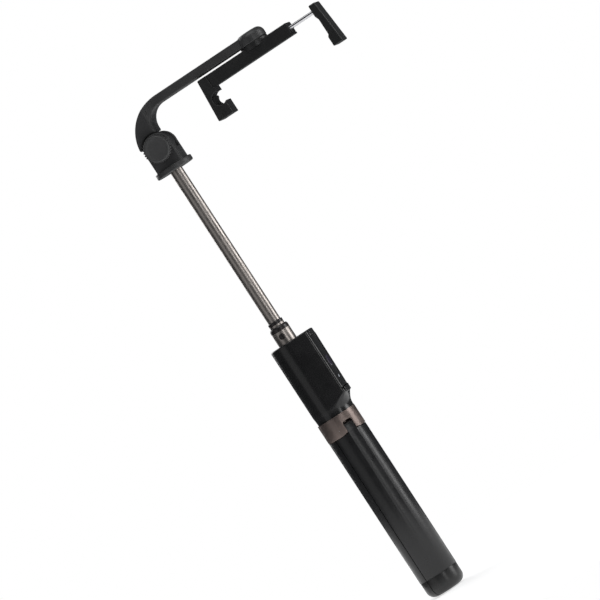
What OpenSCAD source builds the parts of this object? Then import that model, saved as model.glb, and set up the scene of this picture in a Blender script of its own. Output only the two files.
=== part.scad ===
// Folding tripod selfie stick with a docked remote, a telescopic pole and a sprung phone holder.
// Millimetres, +Z up. The origin is on the stick's axis, at the underside of the feet.
// +X is the side that the arm and the remote are on, and the clamp knob is on the -Y side.

/* [Handle] */
// Diameter of the three folded legs together
handle_d = 25; // [24:0.5:27]
// Height of the leg hinges above the underside of the feet
hinge_z = 113; // [105:1:120]
// Height of each foot
foot_h = 11.4; // [9:0.1:14]
// Height of the housing above the hub
housing_h = 51.4; // [50:0.1:56]
// Thickness of a leg's outer wall
leg_wall = 1.8; // [1.4:0.1:2.2]

/* [Pole] */
// Diameter of the lowest sliding tube
stage1_d = 12; // [11.8:0.1:12.2]
// Diameter of the middle sliding tube
stage2_d = 9.4; // [9.2:0.1:9.6]
// Diameter of the top sliding tube
stage3_d = 8; // [7.8:0.1:8.2]
// How far the lowest tube is drawn out as stored
stage1_out = 8.2; // [5:0.1:20]
// How far the middle tube is drawn out as stored
stage2_out = 1.5; // [1:0.1:10]
// How far the top tube is drawn out as stored
stage3_out = 106; // [100:1:110]

/* [Head] */
// Height of the tilt axis above the head's flange
tilt_h = 15.9; // [15:0.1:18]
// Radius of the head's round flange
flange_r = 12.2; // [11:0.1:13]
// Diameter of the clamp knob
knob_d = 16.8; // [15:0.1:17.5]
// Height of the arm's bar above the tilt axis, to its top
arm_rise = 27.3; // [27:0.1:28]
// Distance of the holder's swivel from the pole's axis
swivel_x = 80.5; // [76:0.5:86]

/* [Phone holder] */
// Width of the phone that the jaws hold as stored
phone_w = 79; // [70:1:82]
// Width of the jaws
jaw_w = 16; // [14:1:18]
// Radius of the two jaw rods
rod_r = 1; // [0.9:0.05:1]

/* [Hidden] */
$fn = 64;

// general
fit = 0.05;      // radial clearance of every running fit
far = 60;        // longer than any cut needs
handle_r = handle_d / 2;

// legs and their hinges
leg_angles = [-60, 60, 180];
seam_inset = 0.3;                    // how far a leg's corner stays off the stick's axis
hinge_r = 9.7;                       // distance of a hinge pin from the stick's axis
pin_r = 1;
pin_len = 14;
leg_bore_r = 7.4;
leg_relief_r = 4.2;                  // the leg's shoulder stays outside this radius of its pin
flap_r = 3.9;                        // the hub's flaps stay inside this one
leg_top_z = hinge_z - flap_r;         // just below the hub's skirt
ear_w = 5.8;
ear_r = 2.5;
notch_w = 6.3;
notch_top_z = hinge_z + 3.5;
notch_round = 1.5;
pocket_z0 = foot_h + 11;
pocket_z1 = hinge_z - 16;
pocket_count = 5;
rib = 1.4;

// hub and housing
hub_r = handle_r + 0.2;
hub_z0 = hinge_z - flap_r + 0.1;       // just above the lowest point of the flaps
hub_z1 = hinge_z + 8.5;
housing_z1 = hub_z1 + housing_h;
housing_r = 12.3;
front_x = 12.7;                      // centres of the housing's rounded front corners
front_y = 7.4;
front_r = 2.1;
flare_r = 9;                         // concave flare where the housing grows from the hub
flare_z = hub_z1 + 1;
lip_x = 15.5;
lip_w = 12.6;
cap_t = 1.8;
cap_r = 10.9;
bay_x = 8.7;
bay_w = 13.8;
bay_z0 = hub_z1 + 11.9;
bay_z1 = bay_z0 + 35.8;
bay_round = 3;
bay_screw_r = 1;
bay_head_r = 1.6;
bay_head_h = 0.7;

// fixed barrel
barrel_r = 7;
barrel_bore_r = stage1_d / 2 + 0.4;
barrel_z1 = housing_z1 - cap_t;
barrel_z0 = 44;
bush_len = 9;
guide_len = 6;
guide_lip = 1;

// sliding tubes: radius, bore, bottom and top of each, as stored
r1 = stage1_d / 2;
r2 = stage2_d / 2;
r3 = stage3_d / 2;
bore1 = r1 - 0.5;
bore2 = r2 - 0.4;
bore3 = r3 - 0.4;
bush1_z = housing_z1 + stage1_out;
bush1_h = 2.9;
bush2_z = bush1_z + bush1_h + stage2_out;
bush2_h = 2;
head_z = bush2_z + bush2_h + stage3_out;
tube1_z0 = 57;
tube2_z0 = 63;
tube3_z0 = 170;
tube3_z1 = head_z + 6.4;
peg_r = 1.75;
peg_z = bush1_z - 3.5;

// head
tilt_z = head_z + tilt_h;
flange_h = 3.5;
bracket_x = 9.1;
bracket_y = 9;
slot_w = 6.6;
slot_r = 9;
tongue_w = 5.8;
tongue_r = 8.6;
washer_t = 0.3;
screw_r = 2;
knob_y0 = -bracket_y - 0.3;
knob_t = 5.2;
knob_ribs = 30;
knob_rib_r = 0.45;
nut_af = 7;
nut_t = 3.2;

// arm: outer and inner bend, bar and knuckle
bar_z1 = tilt_z + arm_rise;
bar_t = 5.7;
bar_z0 = bar_z1 - bar_t;
bend_r = 25.5;
bend_x = 15;
bend_z = bar_z1 - bend_r;
inner_r = 11.05;
inner_x = 15.2;
inner_z = bar_z0 - inner_r;
shoulder_gap_r = 9.4;                // the shoulder's hollow runs this far round the tilt axis
tail_z = tilt_z + 3.6;
bar_w = 12.6;
flank_r = 37.6;                      // the arm's flanks narrow to the bar round this radius
flank_x = 17;
knuckle_r = 9.2;
knuckle_z1 = bar_z1 + 1;
knuckle_bevel = 2.2;
swivel_screw_r = 1.5;
swivel_screw_z1 = bar_z0 + 4;

// phone holder
seat_r = 9;
seat_z1 = bar_z0 - 0.15;
seat_t = 2.6;
hold_z1 = seat_z1 - 1.3;
hold_z0 = hold_z1 - 8.2;
hold_x0 = swivel_x - 39.5;
hold_x1 = swivel_x + 23.5;
hold_w = 14;
hold_wall = 1;
end_wall = 4;
cover_t = 1.2;
cover_screw_r = 0.7;
cover_head_r = 1.3;
cover_screw_len = 2.5;
jaw_z0 = hold_z0 - 18.6;
groove_z0 = hold_z0 - 12;
groove_z1 = hold_z0 - 3.8;
groove_r = (groove_z1 - groove_z0) / 2;
fixed_x = swivel_x - 41.5;           // outer face of the fixed jaw at its foot
fixed_lean = 1.9;
groove_x = swivel_x - 38;
lip_end_x = swivel_x - 31.2;
block_end_x = swivel_x - 32.7;
pad_t = 0.8;
moving_x = groove_x + phone_w;       // inner face of the moving jaw's wall
moving_t = 5.5;
moving_lean = 2.2;
rod_y = 4.6;
rod_z = hold_z0 + 4.6;
rod_x0 = swivel_x - 18.5;
stop_t = 2;
stop_h = 3.2;
stop_pocket_x = hold_x0 + 3.5;         // the rods' stop runs into a pocket in the fixed jaw
boss_r = 3.1;
boss_z0 = hold_z0 + 3.2;
spring_r = 1.38;
spring_x0 = rod_x0 + stop_t;
spring_x1 = hold_x1 - end_wall;

// docked remote
remote_gap = 0.2;
remote_x0 = bay_x + remote_gap;
remote_split_x = remote_x0 + 2.5;
remote_x1 = front_x + front_r - 0.1;
remote_wall = 1.1;
board_x = remote_split_x - 0.1;
board_t = 0.8;
cell_r = 5;
cell_t = 1.2;
button_r = 3.8;
button_z = bay_z0 + 18;
dome_h = 0.35;
lens_r = 1;
lens_z = bay_z0 + 7;
remote_mid_z = (bay_z0 + bay_z1) / 2;

// ---------- helpers ----------

// A round rod on the stick's axis
module rod(r, z0, z1) {
    translate([0, 0, z0]) cylinder(r = r, h = z1 - z0);
}

// A ring on the stick's axis
module ring(r, bore, z0, z1) {
    difference() {
        rod(r, z0, z1);
        rod(bore, z0 - 1, z1 + 1);
    }
}

// A round rod along Y, centred on the tilt axis
module tilt_rod(r, y0, y1) {
    translate([0, y0, tilt_z]) rotate([-90, 0, 0]) cylinder(r = r, h = y1 - y0);
}

// A block between two corners
module block(low, high) {
    translate(low) cube(high - low);
}

// An outline in X and Z, made solid from y0 to y1
module upright(y0, y1) {
    translate([0, y1, 0]) rotate([90, 0, 0]) linear_extrude(y1 - y0) children();
}

// A third of the space round the stick, kept off its two seams
module third(z0, z1) {
    translate([seam_inset, 0, z0])
        linear_extrude(z1 - z0)
            polygon([[0, 0], [far * cos(60), far * sin(60)], [far, 0], [far * cos(60), -far * sin(60)]]);
}

// A slab with rounded corners that faces +X, from x0 to x1
module pillow(x0, x1, w, z0, z1, r) {
    translate([x0, 0, (z0 + z1) / 2]) rotate([90, 0, 90]) linear_extrude(x1 - x0) union() {
        square([w - 2 * r, z1 - z0], center = true);
        square([w, z1 - z0 - 2 * r], center = true);
        for (sx = [-1, 1], sy = [-1, 1])
            translate([sx * (w / 2 - r), sy * ((z1 - z0) / 2 - r)]) circle(r = r);
    }
}

// ---------- hub, barrel and housing ----------

// Space that the leg at angle 0 sweeps outside its hinge, kept clear of the hub's flaps
module flap_cut() {
    upright(-handle_r, handle_r) difference() {
        translate([hinge_r, hub_z0 - 2]) square([far, hinge_z - hub_z0 + 2]);
        translate([hinge_r, hinge_z]) circle(r = flap_r);
    }
}

// The slot that the ear of the leg at angle 0 stands in, with rounded upper corners
module ear_slot() {
    translate([barrel_r, 0, 0]) rotate([90, 0, 90]) linear_extrude(far) union() {
        translate([-notch_w / 2, hub_z0 - 2]) square([notch_w, notch_top_z - notch_round - hub_z0 + 2]);
        translate([-notch_w / 2 + notch_round, hub_z0])
            square([notch_w - 2 * notch_round, notch_top_z - hub_z0]);
        for (side = [-1, 1])
            translate([side * (notch_w / 2 - notch_round), notch_top_z - notch_round])
                circle(r = notch_round);
    }
}

module pin_at(r, len) {
    translate([hinge_r, -len / 2, hinge_z]) rotate([-90, 0, 0]) cylinder(r = r, h = len);
}

module hub() {
    color([0.47, 0.42, 0.39]) difference() {
        rod(hub_r, hub_z0, hub_z1);
        rod(barrel_r, hub_z0 - 1, hub_z1 + 1);
        for (a = leg_angles) rotate([0, 0, a]) {
            flap_cut();
            ear_slot();
            pin_at(pin_r, pin_len);
        }
    }
}

module leg_pins() {
    color([0.72, 0.72, 0.72]) for (a = leg_angles) rotate([0, 0, a]) pin_at(pin_r, pin_len);
}

module barrel_tube() {
    color([0.3, 0.3, 0.31]) ring(barrel_r, barrel_bore_r, barrel_z0, barrel_z1);
}

module barrel_plug() {
    color([0.1, 0.1, 0.1]) union() {
        rod(barrel_bore_r, barrel_z0, barrel_z0 + 3);
        rod(barrel_r, barrel_z0 - 1.2, barrel_z0);
    }
}

module barrel_bush() {
    color([0.15, 0.14, 0.14]) ring(barrel_bore_r, r1 + fit, barrel_z1 - bush_len, barrel_z1);
}

// Outline of the housing: a round back, flanks tangent to it and two rounded front corners
module housing_outline() {
    corner = sqrt(front_x * front_x + front_y * front_y);
    lean = atan2(front_y, front_x) + acos((housing_r - front_r) / corner);
    flank = [
        [housing_r * cos(lean), housing_r * sin(lean)],
        [front_x + front_r * cos(lean), front_y + front_r * sin(lean)],
        [front_x + front_r, front_y]
    ];
    circle(r = housing_r);
    for (side = [-1, 1]) translate([front_x, side * front_y]) circle(r = front_r);
    polygon([
        flank[0], flank[1], [front_x, front_y], flank[2],
        [front_x + front_r, -front_y], [front_x, -front_y],
        [flank[1][0], -flank[1][1]], [flank[0][0], -flank[0][1]]
    ]);
}

module housing_shell() {
    color([0.13, 0.13, 0.13]) difference() {
        union() {
            translate([0, 0, hub_z1]) linear_extrude(housing_h) housing_outline();
            block([front_x, -lip_w / 2, bay_z1], [lip_x, lip_w / 2, housing_z1]);
            block([front_x, -lip_w / 2, bay_z0 - 3.5], [lip_x, lip_w / 2, bay_z0]);
        }
        rotate_extrude() translate([handle_r + flare_r, flare_z]) circle(r = flare_r);
        rod(barrel_r, hub_z1 - 1, housing_z1 + 1);
        rod(cap_r, housing_z1 - cap_t, housing_z1 + 1);
        intersection() {
            ring(cap_r - 0.4, barrel_r + 1.2, hub_z1 + 3, housing_z1);
            block([-far, -far, hub_z1], [3, far, housing_z1]);
        }
        pillow(bay_x, far, bay_w, bay_z0, bay_z1, bay_round);
        bay_screw_pair(barrel_r - 1);
    }
}

module housing_cap() {
    color([0.13, 0.13, 0.13]) ring(cap_r, r1 + 0.2, housing_z1 - cap_t, housing_z1);
}

// Two screws that hold the housing to the barrel from inside the remote's bay, from x0 outwards
module bay_screw_pair(x0) {
    for (z = [bay_z0 + 5, bay_z1 - 5]) translate([x0, 0, z]) rotate([0, 90, 0]) union() {
        cylinder(r = bay_screw_r, h = bay_x - x0);
        translate([0, 0, bay_x - x0 - bay_head_h]) cylinder(r = bay_head_r, h = bay_head_h);
    }
}

module bay_screws() {
    color([0.6, 0.6, 0.6]) bay_screw_pair(barrel_r);
}

// ---------- legs ----------

// Outline of the space round the hinge that a leg's body stays out of
module hinge_relief() {
    upright(-far, far) union() {
        translate([hinge_r, hinge_z]) circle(r = leg_relief_r);
        translate([0, hinge_z - leg_relief_r]) square([hinge_r, far]);
    }
}

module leg_pocket(z0, z1) {
    intersection() {
        rod(handle_r - leg_wall, z0, z1);
        translate([2 * leg_wall, 0, 0]) third(z0, z1);
    }
}

module leg_shape() {
    pitch = (pocket_z1 - pocket_z0 + rib) / pocket_count;
    difference() {
        union() {
            difference() {
                intersection() {
                    ring(handle_r, leg_bore_r, foot_h, leg_top_z);
                    third(foot_h, leg_top_z);
                }
                hinge_relief();
            }
            upright(-ear_w / 2, ear_w / 2) union() {
                translate([hinge_r, hinge_z]) circle(r = ear_r);
                translate([leg_bore_r, hinge_z - 9]) square([hinge_r + ear_r - leg_bore_r, 9]);
            }
        }
        pin_at(pin_r + fit, ear_w + 2);
        for (i = [0 : pocket_count - 1])
            leg_pocket(pocket_z0 + i * pitch, pocket_z0 + (i + 1) * pitch - rib);
        leg_pocket(foot_h - 1, foot_h + 9);
    }
}

module leg(number) {
    color([0.15, 0.15, 0.16]) rotate([0, 0, leg_angles[number - 1]]) leg_shape();
}

module leg_1() leg(1);
module leg_2() leg(2);
module leg_3() leg(3);

// A foot closes the end of its leg, with a rounded outer edge and a spigot in the leg's channel
module foot_shape() {
    foot_r = handle_r - 0.2;
    edge = 5;
    union() {
        intersection() {
            rotate_extrude() union() {
                square([foot_r - edge, foot_h - 0.1]);
                translate([0, edge]) square([foot_r, foot_h - 0.1 - edge]);
                intersection() {
                    translate([foot_r - edge, edge]) circle(r = edge);
                    square([foot_r, edge]);
                }
            }
            third(-1, foot_h);
        }
        intersection() {
            ring(handle_r - leg_wall - 0.1, leg_bore_r, foot_h - 0.5, foot_h + 8);
            translate([2 * leg_wall + 0.15, 0, 0]) third(foot_h - 1, foot_h + 9);
        }
    }
}

module foot(number) {
    color([0.09, 0.09, 0.09]) rotate([0, 0, leg_angles[number - 1]]) foot_shape();
}

module foot_1() foot(1);
module foot_2() foot(2);
module foot_3() foot(3);

// ---------- pole ----------

module stage1_tube() {
    color([0.55, 0.52, 0.5]) difference() {
        ring(r1, bore1, tube1_z0, bush1_z);
        translate([0, 0, peg_z]) rotate([90, 0, 0]) cylinder(r = peg_r + fit, h = far);
    }
}

// The bush is pressed into the tube's mouth and held by a peg that snaps through its wall
module stage1_bush() {
    color([0.15, 0.14, 0.14]) difference() {
        union() {
            rod(bore1, bush1_z - bush_len, bush1_z);
            rotate_extrude() polygon([
                [0, bush1_z], [r1 + 0.05, bush1_z], [r1 + 0.05, bush1_z + bush1_h - 1],
                [r1 - 0.6, bush1_z + bush1_h], [0, bush1_z + bush1_h]
            ]);
            intersection() {
                translate([0, 0, peg_z]) rotate([90, 0, 0]) cylinder(r = peg_r, h = far);
                rod(r1, peg_z - far, peg_z + far);
            }
        }
        rod(r2 + fit, tube1_z0, head_z);
    }
}

// A slider round a tube's foot, which runs in the bore of the tube outside it
module guide(tube_r, bore, outside, z0) {
    color([0.85, 0.85, 0.82]) union() {
        ring(outside - fit, tube_r, z0, z0 + guide_len);
        ring(outside - fit, bore, z0 - guide_lip, z0);
    }
}

module stage1_guide() guide(r1, bore1, barrel_bore_r, tube1_z0);

module stage2_tube() {
    color([0.55, 0.52, 0.5]) ring(r2, bore2, tube2_z0, bush2_z);
}

module stage2_bush() {
    color([0.15, 0.14, 0.14]) difference() {
        union() {
            rod(bore2, bush2_z - bush_len, bush2_z);
            rod(r2 + 0.05, bush2_z, bush2_z + bush2_h);
        }
        rod(r3 + fit, tube2_z0, head_z);
    }
}

module stage2_guide() guide(r2, bore2, bore1, tube2_z0);

module stage3_tube() {
    color([0.55, 0.52, 0.5]) ring(r3, bore3, tube3_z0, tube3_z1);
}

module stage3_guide() guide(r3, bore3, bore2, tube3_z0);

// ---------- head ----------

module head_bracket() {
    color([0.2, 0.2, 0.2]) difference() {
        union() {
            rod(flange_r, head_z, head_z + flange_h);
            block([-bracket_x, -bracket_y, head_z + 1], [bracket_x, bracket_y, tilt_z]);
            tilt_rod(bracket_x, -bracket_y, bracket_y);
        }
        rod(r3, head_z - 1, tube3_z1);
        tilt_rod(slot_r, -slot_w / 2, slot_w / 2);
        block([-far, -slot_w / 2, tilt_z], [far, slot_w / 2, tilt_z + far]);
        block([-far, -slot_w / 2, tilt_z - 4.5], [far, slot_w / 2, tilt_z + 1]);
        tilt_rod(screw_r + 0.1, -far, far);
        nut_shape(bracket_y - nut_t, far);
    }
}

module nut_shape(y0, y1) {
    translate([0, y0, tilt_z]) rotate([-90, 0, 0]) cylinder(r = nut_af / sqrt(3), h = y1 - y0, $fn = 6);
}

module friction_washers() {
    color([0.7, 0.7, 0.7]) for (side = [-1, 1]) difference() {
        tilt_rod(7, min(side * slot_w / 2, side * (slot_w / 2 - washer_t)),
            max(side * slot_w / 2, side * (slot_w / 2 - washer_t)));
        tilt_rod(screw_r + 0.1, -far, far);
    }
}

module tilt_nut() {
    color([0.6, 0.6, 0.6]) difference() {
        nut_shape(bracket_y - nut_t, bracket_y);
        tilt_rod(screw_r + fit, -far, far);
    }
}

module tilt_knob() {
    knob_r = knob_d / 2;
    rib_ring_r = knob_r - knob_rib_r;
    color([0.21, 0.21, 0.21]) difference() {
        union() {
            tilt_rod(knob_r - 0.3, knob_y0 - knob_t, knob_y0);
            for (i = [0 : knob_ribs - 1]) {
                a = i * 360 / knob_ribs;
                translate([rib_ring_r * cos(a), knob_y0 - knob_t + 0.6, tilt_z + rib_ring_r * sin(a)])
                    rotate([-90, 0, 0]) cylinder(r = knob_rib_r, h = knob_t - 1.2, $fn = 16);
            }
        }
        tilt_rod(screw_r, knob_y0 - knob_t + 1.5, far);
        tilt_rod(knob_r - 2, knob_y0 - knob_t - 1, knob_y0 - knob_t + 0.3);
    }
}

module tilt_screw() {
    color([0.7, 0.7, 0.7]) tilt_rod(screw_r, knob_y0 - knob_t + 1.5, bracket_y - 0.4);
}

// ---------- arm ----------

// Side outline of the arm: a bend that thins into a straight bar
module arm_outline() {
    difference() {
        translate([bend_x, bend_z]) circle(r = bend_r, $fn = 128);
        translate([inner_x, inner_z]) circle(r = inner_r);
        translate([inner_x - inner_r, bend_z - far]) square([far, inner_z - bend_z + far]);
        translate([bend_x, bend_z - far]) square([far, 2 * far]);
        translate([-far, tail_z - far]) square([2 * far, far]);
        translate([0, tilt_z]) circle(r = shoulder_gap_r);
    }
    translate([bend_x, bar_z0]) square([swivel_x - bend_x, bar_t]);
}

// Plan of the arm: full width at the head, narrowing to the bar round two large arcs
module arm_plan() {
    difference() {
        translate([-far / 2, -bracket_y]) square([flank_x + far / 2, 2 * bracket_y]);
        for (side = [-1, 1])
            translate([flank_x, side * (bar_w / 2 + flank_r)]) circle(r = flank_r, $fn = 128);
    }
    translate([flank_x - 0.5, -bar_w / 2]) square([swivel_x - flank_x + 0.5, bar_w]);
}

module arm() {
    color([0.22, 0.22, 0.22]) difference() {
        union() {
            intersection() {
                upright(-bracket_y, bracket_y) arm_outline();
                translate([0, 0, tail_z - 1]) linear_extrude(far) arm_plan();
            }
            difference() {
                tilt_rod(tongue_r, -tongue_w / 2, tongue_w / 2);
                block([-far, -far, tilt_z - far], [-bracket_x - 1, far, tilt_z + far]);
            }
            upright(-tongue_w / 2, tongue_w / 2) polygon([
                [-6.5, tilt_z + 5], [3.5, tilt_z + 5], [3.5, tilt_z + 11.5], [-6.5, tilt_z + 11.5]
            ]);
            translate([swivel_x, 0, bar_z0]) cylinder(r = knuckle_r, h = bar_t - 1.2);
            translate([swivel_x, 0, bar_z0]) rotate_extrude() polygon([
                [0, bar_t - 1.3], [knuckle_r, bar_t - 1.3], [knuckle_r, knuckle_z1 - knuckle_bevel - bar_z0],
                [knuckle_r - 3.7, knuckle_z1 - bar_z0], [0, knuckle_z1 - bar_z0]
            ]);
        }
        tilt_rod(screw_r + 0.1, -far, far);
        translate([swivel_x, 0, bar_z0 - 1]) cylinder(r = swivel_screw_r, h = swivel_screw_z1 - bar_z0 + 1);
    }
}

module swivel_screw() {
    color([0.6, 0.6, 0.6]) translate([swivel_x, 0, 0]) union() {
        rod(swivel_screw_r, boss_z0 - 1, swivel_screw_z1);
        rod(2.7, boss_z0 - 1.7, boss_z0 - 0.35);
    }
}

module swivel_washer() {
    color([0.75, 0.75, 0.75]) translate([swivel_x, 0, 0])
        ring(2.7, swivel_screw_r, boss_z0 - 0.35, boss_z0 - 0.08);
}

// ---------- phone holder ----------

// Side outline of the fixed jaw, with the groove that a phone's edge sits in
module fixed_jaw_outline() {
    difference() {
        polygon([
            [fixed_x, jaw_z0], [lip_end_x, jaw_z0], [lip_end_x, groove_z0 + 1],
            [block_end_x, groove_z1], [block_end_x, hold_z0], [hold_x0 + 6, hold_z0],
            [hold_x0 + 6, hold_z1], [fixed_x + fixed_lean, hold_z1]
        ]);
        fixed_groove(0);
    }
}

// The groove's outline, drawn in by the thickness of its lining
module fixed_groove(inset) {
    translate([groove_x + groove_r, groove_z0 + groove_r]) circle(r = groove_r - inset);
    translate([groove_x + groove_r, groove_z0 + inset]) square([20, 2 * (groove_r - inset)]);
}

module holder_body() {
    color([0.13, 0.13, 0.13]) difference() {
        union() {
            block([hold_x0, -hold_w / 2, hold_z0 + cover_t], [hold_x1, hold_w / 2, hold_z1]);
            upright(-jaw_w / 2, jaw_w / 2) fixed_jaw_outline();
            translate([swivel_x, 0, seat_z1 - seat_t]) cylinder(r = seat_r, h = seat_t);
        }
        difference() {
            block([hold_x0 + 8, -hold_w / 2 + hold_wall, hold_z0 - 1],
                [hold_x1 - end_wall, hold_w / 2 - hold_wall, hold_z1 - hold_wall]);
            translate([swivel_x, 0, 0]) rod(boss_r, boss_z0, hold_z1);
        }
        block([stop_pocket_x, -hold_w / 2 + hold_wall, rod_z - stop_h / 2 - 0.3],
            [hold_x0 + 8.1, hold_w / 2 - hold_wall, hold_z1 - hold_wall]);
        translate([swivel_x, 0, 0]) rod(swivel_screw_r + fit, hold_z0, seat_z1 + 1);
        for (side = [-1, 1]) translate([hold_x1 - end_wall - 1, side * rod_y, rod_z])
            rotate([0, 90, 0]) cylinder(r = rod_r + fit, h = end_wall + 2);
        cover_screw_set(cover_screw_r, cover_head_r);
    }
}

module holder_cover() {
    color([0.13, 0.13, 0.13]) difference() {
        block([hold_x0 + 6, -hold_w / 2, hold_z0], [hold_x1, hold_w / 2, hold_z0 + cover_t]);
        cover_screw_set(cover_screw_r, cover_head_r);
    }
}

// Small screws up through the cover: two in the jaw's end and one in the end wall
module cover_screw_set(shank_r, head_r) {
    for (at = [[hold_x0 + 7, -5], [hold_x0 + 7, 5], [hold_x1 - 2, 0]]) translate([at[0], at[1], 0]) {
        rod(shank_r, hold_z0, hold_z0 + cover_screw_len);
        rod(head_r, hold_z0 - 0.01, hold_z0 + 0.6);
    }
}

module cover_screws() {
    color([0.35, 0.35, 0.35]) cover_screw_set(cover_screw_r, cover_head_r);
}

module fixed_pad() {
    color([0.16, 0.16, 0.16]) upright(-jaw_w / 2 + 0.5, jaw_w / 2 - 0.5) difference() {
        intersection() {
            fixed_groove(0);
            translate([fixed_x, groove_z0]) square([groove_r + 1, 2 * groove_r]);
        }
        fixed_groove(pad_t);
    }
}

module jaw_springs() {
    color([0.75, 0.75, 0.75]) for (side = [-1, 1]) translate([spring_x0, side * rod_y, rod_z])
        rotate([0, 90, 0]) difference() {
            cylinder(r = spring_r, h = spring_x1 - spring_x0);
            translate([0, 0, -1]) cylinder(r = rod_r + 0.08, h = spring_x1 - spring_x0 + 2);
        }
}

// ---------- moving jaw ----------

module moving_jaw() {
    outer = moving_x + moving_t;
    color([0.13, 0.13, 0.13]) difference() {
        upright(-jaw_w / 2, jaw_w / 2) polygon([
            [moving_x - 1, jaw_z0 - 0.2], [outer, jaw_z0 - 0.2], [outer - moving_lean, hold_z1 + 0.6],
            [moving_x - 1, hold_z1 + 0.6], [moving_x - 1, hold_z0 + 1.5], [moving_x, hold_z0 - 1],
            [moving_x, groove_z0 + 0.8], [moving_x - 1, groove_z0 - 0.6]
        ]);
        block([moving_x - 2, -jaw_w / 2 + 1, groove_z0 + 0.8],
            [moving_x + pad_t, jaw_w / 2 - 1, groove_z1 + 1.5]);
        rod_pair(rod_r, moving_x - 3, moving_x + 2.2);
    }
}

module moving_pad() {
    color([0.16, 0.16, 0.16]) block([moving_x, -jaw_w / 2 + 1, groove_z0 + 0.8],
        [moving_x + pad_t, jaw_w / 2 - 1, groove_z1 + 1.5]);
}

module rod_pair(r, x0, x1) {
    for (side = [-1, 1]) translate([x0, side * rod_y, rod_z]) rotate([0, 90, 0]) cylinder(r = r, h = x1 - x0);
}

module jaw_rods() {
    color([0.8, 0.8, 0.8]) rod_pair(rod_r, rod_x0, moving_x + 2.2);
}

module rod_stop() {
    color([0.3, 0.3, 0.3]) difference() {
        block([rod_x0, -rod_y - 1.3, rod_z - stop_h / 2], [rod_x0 + stop_t, rod_y + 1.3, rod_z + stop_h / 2]);
        rod_pair(rod_r, rod_x0 - 1, rod_x0 + stop_t + 1);
    }
}

// ---------- docked remote ----------

// The remote's outline, drawn in by inset on all sides, from x0 to x1
module remote_block(x0, x1, inset) {
    pillow(x0, x1, bay_w - 2 * (remote_gap + inset), bay_z0 + remote_gap + inset,
        bay_z1 - remote_gap - inset, bay_round - remote_gap - inset);
}

module x_rod(r, x0, x1, z) {
    translate([x0, 0, z]) rotate([0, 90, 0]) cylinder(r = r, h = x1 - x0);
}

module remote_back() {
    color([0.12, 0.12, 0.12]) difference() {
        remote_block(remote_x0, remote_split_x, 0);
        remote_block(remote_x0 + 1, far, remote_wall);
    }
}

module remote_front() {
    color([0.14, 0.14, 0.14]) difference() {
        remote_block(remote_split_x, remote_x1, 0);
        remote_block(0, remote_x1 - remote_wall, remote_wall);
        x_rod(button_r + 0.1, remote_split_x, far, button_z);
        x_rod(lens_r, remote_split_x, far, lens_z);
    }
}

module remote_board() {
    color([0.1, 0.3, 0.15]) block([board_x, -5.2, remote_mid_z - 15.5],
        [board_x + board_t, 5.2, remote_mid_z + 15.5]);
}

module remote_cell() {
    color([0.8, 0.8, 0.8]) x_rod(cell_r, board_x - cell_t - 0.1, board_x - 0.1, remote_mid_z - 8);
}

module remote_lens() {
    color([0.8, 0.85, 0.9]) x_rod(lens_r, board_x + board_t + 0.5, remote_x1 + 0.05, lens_z);
}

module shutter_dome() {
    color([0.8, 0.8, 0.75]) x_rod(2.4, board_x + board_t, board_x + board_t + dome_h, button_z);
}

module shutter_button() {
    color([0.17, 0.16, 0.19]) union() {
        x_rod(button_r, board_x + board_t + dome_h + 0.5, remote_x1 + 0.3, button_z);
        x_rod(button_r + 0.8, board_x + board_t + dome_h + 0.5, remote_x1 - remote_wall - 0.1, button_z);
    }
}

hub();
leg_pins();
barrel_tube();
barrel_plug();
barrel_bush();
housing_shell();
housing_cap();
bay_screws();
leg_1();
leg_2();
leg_3();
foot_1();
foot_2();
foot_3();
stage1_tube();
stage1_bush();
stage1_guide();
stage2_tube();
stage2_bush();
stage2_guide();
stage3_tube();
stage3_guide();
head_bracket();
friction_washers();
tilt_nut();
tilt_knob();
tilt_screw();
arm();
swivel_screw();
swivel_washer();
holder_body();
holder_cover();
cover_screws();
fixed_pad();
jaw_springs();
moving_jaw();
moving_pad();
jaw_rods();
rod_stop();
remote_back();
remote_front();
remote_board();
remote_cell();
remote_lens();
shutter_dome();
shutter_button();
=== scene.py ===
"""Looks of a folding selfie stick with a telescopic pole, a phone holder and a docked remote."""

import logging
import math
from dataclasses import dataclass, field
from enum import Enum
from typing import Callable, Iterable, Sequence

import bmesh
import bpy
from mathutils import Matrix, Vector


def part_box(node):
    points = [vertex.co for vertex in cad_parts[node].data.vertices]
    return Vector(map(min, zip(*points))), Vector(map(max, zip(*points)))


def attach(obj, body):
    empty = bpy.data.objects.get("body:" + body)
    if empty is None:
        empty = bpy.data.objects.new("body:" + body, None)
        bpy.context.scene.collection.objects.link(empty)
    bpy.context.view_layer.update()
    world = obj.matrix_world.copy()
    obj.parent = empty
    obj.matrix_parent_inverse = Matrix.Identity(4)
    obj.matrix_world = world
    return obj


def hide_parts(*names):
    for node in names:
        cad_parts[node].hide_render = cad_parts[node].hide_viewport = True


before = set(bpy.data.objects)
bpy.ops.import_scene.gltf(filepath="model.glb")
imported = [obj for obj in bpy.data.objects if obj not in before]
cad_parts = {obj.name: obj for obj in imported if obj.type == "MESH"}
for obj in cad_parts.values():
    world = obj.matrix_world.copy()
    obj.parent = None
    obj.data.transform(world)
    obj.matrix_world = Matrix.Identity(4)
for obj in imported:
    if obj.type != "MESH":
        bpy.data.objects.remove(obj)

LOG = logging.getLogger("selfie_stick")
MM = 0.001
UP = Vector((0, 0, 1))
CREASE = 35.0  # faces that meet at more than this many degrees have a sharp edge between them
CORNER = 50.0  # the same, for square corners only
SHADED_APART = 38.0  # the same, for the shading of a finished piece
ONE_PLANE = 0.08  # neighbouring faces within this many degrees are joined into one
NEAR = 0.01  # how near a plane an edge lies, in millimetres, to count as on it
STRAY = 0.01  # how far past its CAD nodes, in millimetres, a piece may reach unreported
Point = tuple[float, float]


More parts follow.
